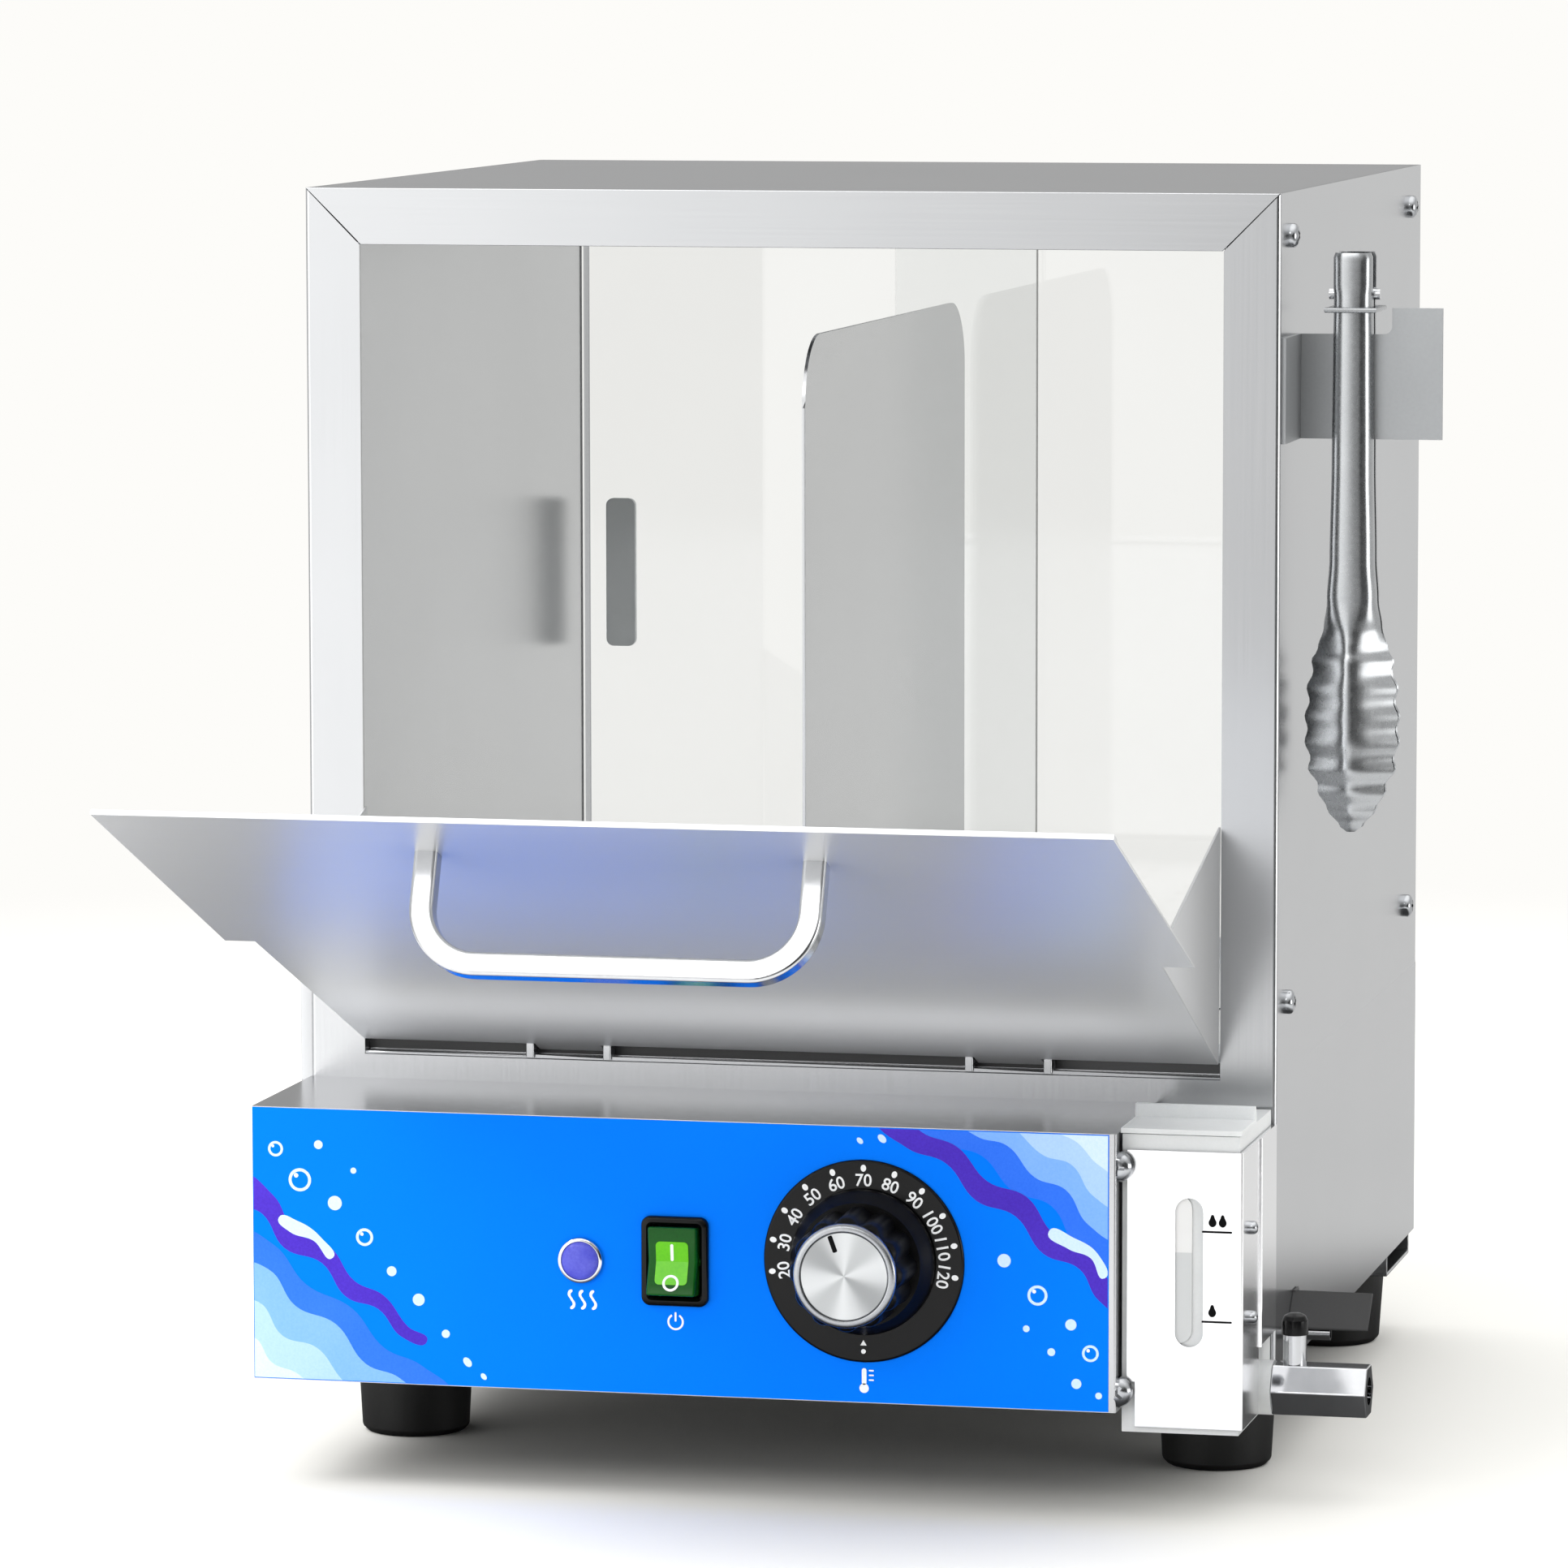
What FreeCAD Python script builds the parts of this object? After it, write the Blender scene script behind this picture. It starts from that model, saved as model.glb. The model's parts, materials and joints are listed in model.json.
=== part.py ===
"""Counter-top hot dog steamer: a steam cabinet on a base with a water tank and a control box.

The frame: X to the right, Y to the back, Z up, in millimetres. The origin is the centre of the
four feet's footprint, on the counter. The door is shown open, as it rests on its stop.
"""
import FreeCAD, Part
import math
import os
import Sketcher

SIZES = {
    # Cabinet: folded sheet, with mitred flanges round the front and the rear opening
    "cabinet_width": 360.0,
    "cabinet_depth": 340.0,
    "cabinet_height": 318.0,
    "sheet": 1.2,
    "flange_width": 20.5,
    "bend_radius": 1.6,
    "mitre_gap": 0.5,
    "fit_gap": 0.1,
    "running_gap": 0.05,
    "rest_gap": 0.3,
    "overrun": 2.0,
    "hem_drop": 24.0,
    "hem_setback": 3.0,
    "liner_sheet": 1.0,
    "liner_top_width": 16.0,
    "liner_foot_width": 7.5,
    "bracket_sheet": 1.5,
    "bracket_height": 38.0,
    "bracket_foot": 9.0,
    "bracket_length": 24.0,
    # Screws with pan heads
    "head_radius": 3.5,
    "head_height": 2.8,
    "shank_radius": 2.0,
    "shank_length": 8.0,
    "head_crown_share": 0.55,
    "side_head_radius": 4.4,
    "side_head_height": 3.4,
    "side_screw_drop": 15.5,
    "side_screw_rise": 26.5,
    "side_screw_front": 20.0,
    "side_screw_back": 32.0,
    # Base shell, its tank opening and its feet
    "base_height": 108.0,
    "foot_height": 39.0,
    "ledge_side": 28.0,
    "ledge_front": 20.0,
    "ledge_back": 26.0,
    "service_opening_width": 236.0,
    "service_opening_low": 14.0,
    "service_opening_high": 84.0,
    "foot_top_radius": 22.0,
    "foot_tip_radius": 20.0,
    "foot_edge": 2.0,
    "foot_inset": 28.0,
    "foot_front_setback": 40.0,
    "foot_back_setback": 40.0,
    "foot_recess_radius": 6.0,
    "foot_recess_depth": 14.0,
    "channel_height": 7.8,
    "channel_front_setback": 71.0,
    "channel_back_setback": 13.0,
    "foot_screw_length": 34.0,
    "rear_vent_width": 60.0,
    "rear_vent_height": 4.0,
    "rear_vent_pitch": 9.0,
    "rear_vent_count": 5,
    "rear_vent_low": 30.0,
    "rear_vent_centre": 70.0,
    "gland_place": 120.0,
    "gland_rise": 26.0,
    "gland_radius": 8.0,
    "gland_bore": 4.0,
    "gland_nut_radius": 12.0,
    "gland_nut_length": 6.0,
    "gland_nose": 14.0,
    # Door, its hinge and its handle, drawn closed about the hinge axis
    "door_open_angle": 68.0,
    "door_sheet": 1.0,
    "door_upper_width": 346.0,
    "door_step_width": 324.0,
    "door_lower_width": 318.4,
    "door_step_rise": 141.5,
    "door_rise": 305.2,
    "door_root_rise": 2.4,
    "door_front_gap": 1.3,
    "door_hem_width": 6.0,
    "cheek_reach": 76.3,
    "cheek_rise": 31.7,
    "hinge_rise": 8.8,
    "hinge_setback": 1.76,
    "hinge_rod_radius": 2.0,
    "hinge_rod_length": 204.0,
    "curl_clearance": 0.06,
    "curl_wall": 1.25,
    "tab_width": 25.0,
    "tab_inset": 20.0,
    "tab_lip": 6.0,
    "lug_width": 3.0,
    "lug_gap": 0.5,
    "lug_front_reach": 2.6,
    "lug_back_reach": 3.2,
    "lug_top_reach": 2.9,
    "sill_setback": 0.4,
    "sill_upstand": 5.3,
    "handle_width": 141.0,
    "handle_bar": 8.0,
    "handle_reach": 42.0,
    "handle_corner": 24.0,
    "handle_edge": 1.4,
    "handle_rise": 266.0,
    # Rear glass and its tracks
    "track_sheet": 1.2,
    "track_groove": 6.2,
    "track_floor": 1.5,
    "lower_track_height": 7.5,
    "upper_track_height": 18.0,
    "track_back_gap": 0.8,
    "glass_thickness": 4.0,
    "glass_overlap_left": 31.0,
    "glass_overlap_right": 28.0,
    "glass_top_gap": 6.0,
    "glass_side_gap": 0.5,
    "pull_width": 12.0,
    "pull_height": 60.0,
    "pull_depth": 2.8,
    "pull_edge": 9.0,
    "pull_rise": 120.0,
    # Steam tray, divider, tank and element
    "tank_side_gap": 1.0,
    "tank_wall": 1.0,
    "tank_depth": 77.0,
    "tank_rim": 6.5,
    "tray_side_gap": 2.0,
    "tray_front_setback": 19.0,
    "tray_back_setback": 20.0,
    "tray_wall": 1.0,
    "tray_height": 9.0,
    "tray_hole_radius": 3.0,
    "tray_hole_pitch": 26.0,
    "tray_holes_across": 11,
    "tray_holes_deep": 11,
    "divider_sheet": 1.2,
    "divider_height": 261.4,
    "divider_front_setback": 28.0,
    "divider_back_setback": 24.0,
    "divider_corner": 26.0,
    "divider_foot": 24.0,
    "element_radius": 4.0,
    "element_pitch": 60.0,
    "element_rise": 12.0,
    "element_front": 62.0,
    "element_back": 70.0,
    "element_stub": 22.0,
    "element_collar_radius": 9.0,
    "element_collar_length": 5.0,
    "bulb_radius": 3.2,
    "bulb_length": 62.0,
    "bulb_rise": 34.0,
    "bulb_gland_radius": 6.0,
    "bulb_gland_length": 7.0,
    "capillary_radius": 0.9,
    # Control box, overlay and controls
    "control_width": 316.0,
    "control_depth": 77.0,
    "control_height": 99.2,
    "overlay_thickness": 0.4,
    "overlay_bare_strip": 2.6,
    "overlay_edge": 0.3,
    "dial_place": 45.5,
    "dial_rise": 51.0,
    "dial_radius": 36.3,
    "dial_thickness": 1.2,
    "dial_bevel": 0.6,
    "dial_bore": 6.0,
    "bush_radius": 5.0,
    "bush_length": 3.0,
    "thermostat_width": 40.0,
    "thermostat_height": 34.0,
    "thermostat_depth": 30.0,
    "shaft_radius": 3.0,
    "shaft_inside": 22.0,
    "shaft_outside": 24.0,
    "knob_gap": 0.6,
    "knob_skirt_radius": 26.0,
    "knob_skirt_height": 7.0,
    "knob_grip_radius": 21.0,
    "knob_front_radius": 20.0,
    "knob_height": 31.0,
    "knob_flute_radius": 1.5,
    "knob_flutes": 24,
    "cap_height": 2.6,
    "cap_face_radius": 16.8,
    "switch_place": -23.2,
    "switch_rise": 48.5,
    "switch_width": 24.4,
    "switch_height": 32.2,
    "switch_flange": 2.2,
    "switch_wall": 2.2,
    "switch_depth": 26.0,
    "rocker_width": 17.8,
    "rocker_height": 25.0,
    "rocker_pin_radius": 1.2,
    "rocker_pin_reach": 9.8,
    "rocker_reach": 6.0,
    "rocker_inside": 7.0,
    "rocker_tilt": 7.0,
    "lamp_place": -57.9,
    "lamp_rise": 47.6,
    "lamp_radius": 8.3,
    "lamp_flange": 1.8,
    "lamp_body_radius": 6.0,
    "lamp_depth": 22.0,
    "lens_radius": 6.8,
    "lens_reach": 3.0,
    "lens_edge": 1.0,
    "panel_screw_setback": 3.5,
    "panel_screw_low": 7.0,
    "panel_screw_high": 12.0,
    # Water gauge and drain valve
    "gauge_gap": 0.8,
    "gauge_front_setback": 7.2,
    "gauge_wall": 2.0,
    "gauge_low": 7.8,
    "gauge_high": 98.5,
    "gauge_back_gap": 3.0,
    "gauge_side_gap": 0.4,
    "gauge_mouth_front": 5.0,
    "gauge_mouth_back": 28.0,
    "gauge_cover_left": 41.3,
    "gauge_cover_low": 5.5,
    "gauge_cover_high": 93.0,
    "gauge_cover_sheet": 1.2,
    "gauge_cover_right": 0.2,
    "gauge_notch_width": 2.9,
    "gauge_notch_height": 16.0,
    "slot_width": 10.0,
    "slot_height": 53.0,
    "slot_rise": 50.0,
    "slot_right_setback": 19.2,
    "wing_cut_height": 18.0,
    "wing_cut_depth": 37.0,
    "wing_bead_radius": 0.9,
    "wing_bead_place": 35.0,
    "wing_screw_front": 13.0,
    "wing_screw_high": 64.5,
    "wing_screw_low": 32.5,
    "lid_thickness": 1.8,
    "lid_overhang": 0.8,
    "lid_barrel_radius": 1.8,
    "lid_pin_radius": 1.0,
    "lid_hinge_back": 36.5,
    "lid_hinge_rise": 2.3,
    "lid_lug_width": 3.0,
    "lid_lug_reach": 2.2,
    "lid_lip_height": 4.6,
    "lid_lip_width": 2.6,
    "link_radius": 5.0,
    "link_bore": 3.6,
    "link_place": 146.0,
    "link_rise": 36.5,
    "valve_back": 26.0,
    "valve_rise": 1.9,
    "boss_radius": 9.8,
    "boss_length": 5.4,
    "nipple_radius": 5.0,
    "nipple_bore": 3.2,
    "nipple_length": 13.0,
    "valve_flats": 17.8,
    "valve_length": 34.2,
    "valve_outlet_radius": 5.0,
    "valve_outlet_depth": 15.0,
    "stem_radius": 4.2,
    "stem_place": 7.4,
    "stem_sink": 4.0,
    "stem_height": 10.6,
    "cap_radius": 4.8,
    "cap_length": 7.8,
    "cap_wing_reach": 9.0,
    "cap_wing_width": 3.0,
    "cap_wing_height": 4.0,
    # Right side: overflow with its shield, tong holder, tongs
    "shield_front": 26.7,
    "shield_back": 39.1,
    "shield_low": 13.5,
    "shield_high": 25.0,
    "shield_reach": 29.5,
    "shield_sheet": 1.0,
    "shield_tab": 8.0,
    "overflow_radius": 2.4,
    "overflow_bore": 1.7,
    "overflow_place": 29.5,
    "overflow_rise": 12.0,
    "overflow_reach": 15.5,
    "overflow_inside": 9.0,
    "holder_place": 37.0,
    "holder_sheet": 1.5,
    "holder_flange": 34.0,
    "holder_reach": 52.7,
    "holder_drop": 89.1,
    "holder_height": 37.7,
    "holder_ear_height": 9.5,
    "holder_ear_width": 18.3,
    "holder_corner": 3.0,
    "tongs_reach": 20.8,
    "tongs_pin_rise": 14.4,
    "tongs_top": 15.0,
    "tongs_tip": 194.0,
    "tongs_wall": 1.0,
    "tongs_web_reach": 9.5,
    "tongs_inner_gap": 1.6,
    "tongs_top_width": 14.0,
    "tongs_handle_width": 14.8,
    "tongs_handle_end": 112.0,
    "tongs_shoulder": 129.0,
    "tongs_shoulder_width": 26.6,
    "tongs_head_width": 34.6,
    "tongs_wave_depth": 1.6,
    "tongs_bulge": 13.5,
    "tongs_tip_reach": 3.2,
    "tongs_tip_width": 5.0,
    "tongs_lug_rise": 5.0,
    "tongs_lug_cross": 4.0,
    "tongs_nest_gap": 0.4,
    "tongs_pin_radius": 2.0,
    "tongs_pin_length": 18.4,
    "tongs_ring_drop": 5.4,
    "tongs_ring_wire": 1.8,
    "tongs_ring_gap": 2.0,
    "tongs_spring_wire": 0.5,
    "tongs_spring_radius": 2.9,
    "tongs_spring_pitch": 1.6,
    "tongs_spring_turns": 4,
    # Left side: low service cover
    "cover_depth": 4.6,
    "cover_front": 2.0,
    "cover_length": 118.0,
    "cover_low": 97.0,
    "cover_height": 76.0,
    "cover_wall": 1.0,
}

doc = FreeCAD.newDocument("hot_dog_steamer")
sheet = doc.addObject("Spreadsheet::Sheet", "Sizes")
for row, (alias, number) in enumerate(SIZES.items(), start=1):
    sheet.set(f"A{row}", str(number))
    sheet.setAlias(f"A{row}", alias)
doc.recompute()


class Size:
    """A size that knows its value and the expression that ties it to the sheet."""

    def __init__(self, value, text):
        self.value = value
        self.text = text

    def __add__(self, other):
        other = as_size(other)
        return Size(self.value + other.value, f"({self.text} + {other.text})")

    def __sub__(self, other):
        other = as_size(other)
        return Size(self.value - other.value, f"({self.text} - {other.text})")

    def __mul__(self, share):
        share = as_size(share)
        return Size(self.value * share.value, f"({self.text} * {share.text})")

    def __truediv__(self, share):
        share = as_size(share)
        return Size(self.value / share.value, f"({self.text} / {share.text})")

    def __neg__(self):
        return Size(-self.value, f"(0 - {self.text})")


def as_size(item):
    return item if isinstance(item, Size) else Size(float(item), repr(float(item)))


def sine(angle):
    return Size(math.sin(math.radians(angle.value)), f"sin({angle.text})")


def cosine(angle):
    return Size(math.cos(math.radians(angle.value)), f"cos({angle.text})")


class Sizes:
    """Every named cell of the sheet, as a Size."""

    def __init__(self):
        for alias in SIZES:
            setattr(self, alias, Size(float(sheet.get(alias)), f"Sizes.{alias}"))


s = Sizes()
nodes = []

# Planes that many pieces share
zero = as_size(0)
half_width = s.cabinet_width / 2
front = -s.cabinet_depth / 2
back = s.cabinet_depth / 2
base_low = s.foot_height
seam = s.foot_height + s.base_height
top = seam + s.cabinet_height
mouth = half_width - s.flange_width
inner_side = half_width - s.sheet - s.fit_gap
ceiling = top - s.sheet
panel_front = front - s.control_depth
control_right = s.control_width - half_width
control_top = base_low + s.control_height

ROTATIONS = {
    "+Z": FreeCAD.Rotation(),
    "-Z": FreeCAD.Rotation(FreeCAD.Vector(1, 0, 0), 180),
    "+X": FreeCAD.Rotation(FreeCAD.Vector(0, 1, 0), 90),
    "-X": FreeCAD.Rotation(FreeCAD.Vector(0, 1, 0), -90),
    "+Y": FreeCAD.Rotation(FreeCAD.Vector(1, 0, 0), -90),
    "-Y": FreeCAD.Rotation(FreeCAD.Vector(1, 0, 0), 90),
}
START, END, CENTRE = range(1, 4)
ORIGIN_POINT = -1
FULL_TURN = 360
HALF_TURN = 180
HEX_SIDES = 6
LEG_SHARES = (-1.5, -0.5, 0.5, 1.5)
DOME_SHARES = ((1.0, 0.4), (0.8, 0.8), (0.45, 0.96), (0.0, 1.0))
WAVE_SHARES = ((1.0, 0.14), (0.93, 0.34), (0.78, 0.54), (0.52, 0.74))
BULGE_SHARES = ((0.0, 0.0), (0.12, 0.35), (0.3, 0.85), (0.52, 1.0), (0.74, 0.55), (0.9, 0.0))
CREST_SHARES = ((1.0, -0.05), (0.0, 0.0), (0.0, 0.06), (1.0, 0.1))


def bind(thing, path, size):
    thing.setExpression(path, as_size(size).text)


def place(thing, x, y, z, heading="+Z"):
    """Put a piece at a point, with its own Z turned to a heading."""
    thing.Placement = FreeCAD.Placement(FreeCAD.Vector(), ROTATIONS[heading])
    for letter, size in zip("xyz", (x, y, z)):
        bind(thing, f"Placement.Base.{letter}", size)
    return thing


def block(name, x_span, y_span, z_span):
    """A box between two planes each way."""
    piece = doc.addObject("Part::Box", name)
    for side, (low, high) in zip(("Length", "Width", "Height"), (x_span, y_span, z_span)):
        bind(piece, side, as_size(high) - low)
    return place(piece, x_span[0], y_span[0], z_span[0])


def rod(name, radius, length, x, y, z, heading):
    """A round bar from a point along a heading."""
    piece = doc.addObject("Part::Cylinder", name)
    bind(piece, "Radius", radius)
    bind(piece, "Height", length)
    return place(piece, x, y, z, heading)


def group(name, pieces):
    piece = doc.addObject("Part::Compound", name)
    piece.Links = pieces
    return piece


def fused(name, pieces):
    piece = doc.addObject("Part::MultiFuse", name)
    piece.Shapes = pieces
    piece.Refine = True
    return piece


def cut(name, base, tools):
    """The base less its tools, which may be one piece or a list."""
    piece = doc.addObject("Part::Cut", name)
    piece.Base = base
    piece.Tool = group(f"{name}_tools", tools) if isinstance(tools, list) else tools
    return piece


def common(name, base, tool):
    piece = doc.addObject("Part::Common", name)
    piece.Base = base
    piece.Tool = tool
    return piece


def node(label, piece):
    piece.Label = label
    nodes.append(piece)
    return piece


def outline_sketch(body, role, offset, outline):
    """A closed polygon on one of the body's own planes, each corner bound both ways."""
    sketch = body.newObject("Sketcher::SketchObject", f"{body.Name}_outline")
    plane = next(item for item in body.Origin.OriginFeatures if item.Role == role)
    sketch.AttachmentSupport = [(plane, "")]
    sketch.MapMode = "FlatFace"
    bind(sketch, "AttachmentOffset.Base.z", offset)
    corners = [(as_size(x), as_size(y)) for x, y in outline]
    count = len(corners)
    for index, (x, y) in enumerate(corners):
        x_next, y_next = corners[(index + 1) % count]
        start = FreeCAD.Vector(x.value, y.value, 0)
        end = FreeCAD.Vector(x_next.value, y_next.value, 0)
        sketch.addGeometry(Part.LineSegment(start, end))
    for index in range(count):
        following = (index + 1) % count
        sketch.addConstraint(Sketcher.Constraint("Coincident", index, END, following, START))
    for index, corner in enumerate(corners):
        for kind, size in zip(("DistanceX", "DistanceY"), corner):
            rule = Sketcher.Constraint(kind, ORIGIN_POINT, START, index, START, size.value)
            bind(sketch, f"Constraints[{sketch.addConstraint(rule)}]", size)
    return sketch


def plate(name, along, outline, low, high):
    """A body padded along X, Y or Z between two planes, from an outline in the other two axes."""
    body = doc.addObject("PartDesign::Body", name)
    role = {"X": "YZ_Plane", "Y": "XZ_Plane", "Z": "XY_Plane"}[along]
    offset = -as_size(high) if along == "Y" else low
    sketch = outline_sketch(body, role, offset, outline)
    pad = body.newObject("PartDesign::Pad", f"{name}_pad")
    pad.Profile = sketch
    bind(pad, "Length", as_size(high) - low)
    sketch.Visibility = False
    return body


def turned(name, outline, x, y, z, heading):
    """A body of revolution from an outline of radius and height, set along a heading."""
    body = doc.addObject("PartDesign::Body", name)
    sketch = outline_sketch(body, "XZ_Plane", zero, outline)
    spin = body.newObject("PartDesign::Revolution", f"{name}_spin")
    spin.Profile = sketch
    spin.ReferenceAxis = (sketch, ["V_Axis"])
    spin.Angle = FULL_TURN
    return place(body, x, y, z, heading)


def soften(body, radius, names):
    """Fillet the named edges of the body's last feature."""
    tip = body.Tip
    fillet = body.newObject("PartDesign::Fillet", f"{tip.Name}_round")
    fillet.Base = (tip, names)
    bind(fillet, "Radius", radius)
    return body


def rounded(body, radius, corners, along):
    """Fillet the body's edges that run along an axis through the given corners."""
    doc.recompute()
    across = [letter for letter in "xyz" if letter != along]
    near = s.running_gap.value
    names = []
    for index, edge in enumerate(body.Shape.Edges, start=1):
        ends = [vertex.Point for vertex in edge.Vertexes]
        if len(ends) != 2:
            continue
        middle = (ends[0] + ends[1]) / 2
        run = ends[1] - ends[0]
        straight = all(abs(getattr(run, letter)) < near for letter in across)
        for corner in corners:
            gaps = [abs(getattr(middle, letter) - size.value) for letter, size in zip(across, corner)]
            if straight and max(gaps) < near:
                names.append(f"Edge{index}")
    return soften(body, radius, names)


def screw(name, x, y, z, heading, length, radius=s.head_radius, height=s.head_height):
    """A pan-head screw whose head stands out along the heading."""
    crown = radius * s.head_crown_share
    outline = [
        (zero, -length),
        (s.shank_radius, -length),
        (s.shank_radius, zero),
        (radius, zero),
        (radius, height / 2),
        (crown, height),
        (zero, height),
    ]
    return turned(name, outline, x, y, z, heading)


def span(side, near, far):
    """A span across X on the right side, or its mirror on the left."""
    return (near, far) if side > 0 else (-as_size(far), -as_size(near))


# Cabinet

def side_screw_places():
    heights = (top - s.side_screw_drop, seam + s.side_screw_rise)
    depths = (front + s.side_screw_front, back - s.side_screw_back)
    return [(depth, height) for height in heights for depth in depths]


def side_screw_holes(name):
    radius = s.shank_radius + s.fit_gap
    reach = s.shank_length + s.overrun * 2
    holes = []
    for side in (1, -1):
        for index, (depth, height) in enumerate(side_screw_places()):
            start = (half_width + s.overrun) * side
            heading = "-X" if side > 0 else "+X"
            holes.append(rod(f"{name}_hole_{side}_{index}", radius, reach, start, depth, height, heading))
    return holes


def make_top_panel():
    slope_top = half_width - s.mitre_gap
    slope_low = mouth - s.mitre_gap
    flange_low = top - s.flange_width
    trapezium = [(-slope_top, top), (slope_top, top), (slope_low, flange_low), (-slope_low, flange_low)]
    pieces = [
        block("top_sheet", (-inner_side, inner_side), (front, back), (ceiling, top)),
        plate("top_front_flange", "Y", trapezium, front, front + s.sheet),
        plate("top_rear_flange", "Y", trapezium, back - s.sheet, back),
    ]
    depth = (front + s.hem_setback, back - s.hem_setback)
    for side in (1, -1):
        across = span(side, inner_side - s.sheet, inner_side)
        pieces.append(block(f"top_hem_{side}", across, depth, (top - s.hem_drop, ceiling)))
    node("top_panel", cut("top_panel", fused("top_folded", pieces), side_screw_holes("top")))


def make_side_panel(label, side):
    inner = half_width - s.sheet
    outline = [
        (mouth * side, front),
        (half_width * side, front),
        (half_width * side, back),
        (mouth * side, back),
        (mouth * side, back - s.sheet),
        (inner * side, back - s.sheet),
        (inner * side, front + s.sheet),
        (mouth * side, front + s.sheet),
    ]
    sheet_body = plate(f"{label}_sheet", "Z", outline, seam, top)
    rounded(sheet_body, s.bend_radius, [(half_width * side, front), (half_width * side, back)], "z")
    low_x = mouth - s.overrun
    low_z = top - s.flange_width - s.overrun
    wedge = [
        (low_x * side, low_z),
        ((half_width + s.overrun) * side, top + s.overrun),
        (low_x * side, top + s.overrun),
    ]
    tools = [
        plate(f"{label}_front_mitre", "Y", wedge, front - s.overrun, front + s.sheet),
        plate(f"{label}_rear_mitre", "Y", wedge, back - s.sheet, back + s.overrun),
    ]
    node(label, cut(label, sheet_body, tools + side_screw_holes(label)))


def make_liner(label, side):
    web = mouth + s.liner_sheet
    outline = [
        (mouth * side, seam),
        ((web + s.liner_foot_width) * side, seam),
        ((web + s.liner_foot_width) * side, seam + s.liner_sheet),
        (web * side, seam + s.liner_sheet),
        (web * side, ceiling - s.liner_sheet),
        ((web + s.liner_top_width) * side, ceiling - s.liner_sheet),
        ((web + s.liner_top_width) * side, ceiling),
        (mouth * side, ceiling),
    ]
    node(label, plate(label, "Y", outline, front + s.sheet, back - s.sheet))


def make_brackets():
    brackets = []
    depths = (front + s.side_screw_front, back - s.side_screw_back)
    for side in (1, -1):
        outline = [
            ((inner_side - s.bracket_foot) * side, seam),
            (inner_side * side, seam),
            (inner_side * side, seam + s.bracket_height),
            ((inner_side - s.bracket_sheet) * side, seam + s.bracket_height),
            ((inner_side - s.bracket_sheet) * side, seam + s.bracket_sheet),
            ((inner_side - s.bracket_foot) * side, seam + s.bracket_sheet),
        ]
        for index, depth in enumerate(depths):
            low = depth - s.bracket_length / 2
            high = depth + s.bracket_length / 2
            brackets.append(plate(f"bracket_{side}_{index}", "Y", outline, low, high))
    node("corner_brackets", cut("corner_brackets", group("bracket_set", brackets),
                                side_screw_holes("bracket")))


def make_side_screws():
    screws = []
    for side in (1, -1):
        heading = "+X" if side > 0 else "-X"
        for index, (depth, height) in enumerate(side_screw_places()):
            name = f"side_screw_{side}_{index}"
            screws.append(screw(name, half_width * side, depth, height, heading, s.shank_length,
                                s.side_head_radius, s.side_head_height))
    node("side_screws", group("side_screws", screws))


# Door and its hinge

hinge_y = front + s.hinge_setback
hinge_z = seam + s.hinge_rise
door_inner = -(s.hinge_setback + s.door_front_gap)
door_outer = door_inner - s.door_sheet


def hang_on_hinge(piece):
    """Turn a piece drawn closed about the hinge axis to the open door's place."""
    turn = FreeCAD.Rotation(FreeCAD.Vector(1, 0, 0), s.door_open_angle.value)
    piece.Placement = FreeCAD.Placement(FreeCAD.Vector(), turn)
    bind(piece, "Placement.Rotation.Angle", s.door_open_angle)
    bind(piece, "Placement.Base.y", hinge_y)
    bind(piece, "Placement.Base.z", hinge_z)
    return piece


def tab_spans():
    half = s.tab_width / 2
    centre = s.hinge_rod_length / 2 - s.tab_inset
    return [(centre * side - half, centre * side + half) for side in (-1, 1)]


def handle_screw_places():
    return [(s.handle_width / 2 - s.handle_bar / 2) * side for side in (-1, 1)]


def make_door_panel():
    upper = s.door_upper_width / 2
    step = s.door_step_width / 2
    lower = s.door_lower_width / 2
    outline = [
        (-lower, s.door_root_rise),
        (lower, s.door_root_rise),
        (step, s.door_step_rise),
        (upper, s.door_step_rise),
        (upper, s.door_rise),
        (-upper, s.door_rise),
        (-upper, s.door_step_rise),
        (-step, s.door_step_rise),
    ]
    pieces = [plate("door_sheet_metal", "Y", outline, door_outer, door_inner)]
    hem_depth = (door_inner, door_inner + s.door_sheet)
    hem_rise = (s.door_rise - s.door_hem_width, s.door_rise)
    pieces.append(block("door_hem", (-upper, upper), hem_depth, hem_rise))
    cheek = [
        (door_outer, s.door_root_rise),
        (door_outer, s.door_step_rise),
        (door_inner, s.door_step_rise),
        (s.cheek_reach, s.cheek_rise),
        (door_inner, s.door_root_rise),
    ]
    for side in (1, -1):
        low, high = span(side, lower - s.door_sheet, lower)
        pieces.append(plate(f"door_cheek_{side}", "X", cheek, low, high))
    ring = s.hinge_rod_radius + s.curl_clearance + s.curl_wall
    for index, (low, high) in enumerate(tab_spans()):
        rise = (-s.tab_lip, s.door_root_rise)
        pieces.append(block(f"door_tab_{index}", (low, high), (door_outer, door_inner), rise))
        pieces.append(rod(f"door_curl_{index}", ring, high - low, low, zero, zero, "+X"))
    tools = [rod("door_curl_bore", s.hinge_rod_radius + s.curl_clearance, s.hinge_rod_length,
                 -s.hinge_rod_length / 2, zero, zero, "+X")]
    for index, across in enumerate(handle_screw_places()):
        tools.append(rod(f"door_screw_hole_{index}", s.shank_radius + s.fit_gap,
                         s.door_sheet + s.overrun * 2, across, door_outer - s.overrun,
                         s.handle_rise, "+Y"))
    door = cut("door_panel", fused("door_folded", pieces), tools)
    node("door_panel", hang_on_hinge(door))


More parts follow.
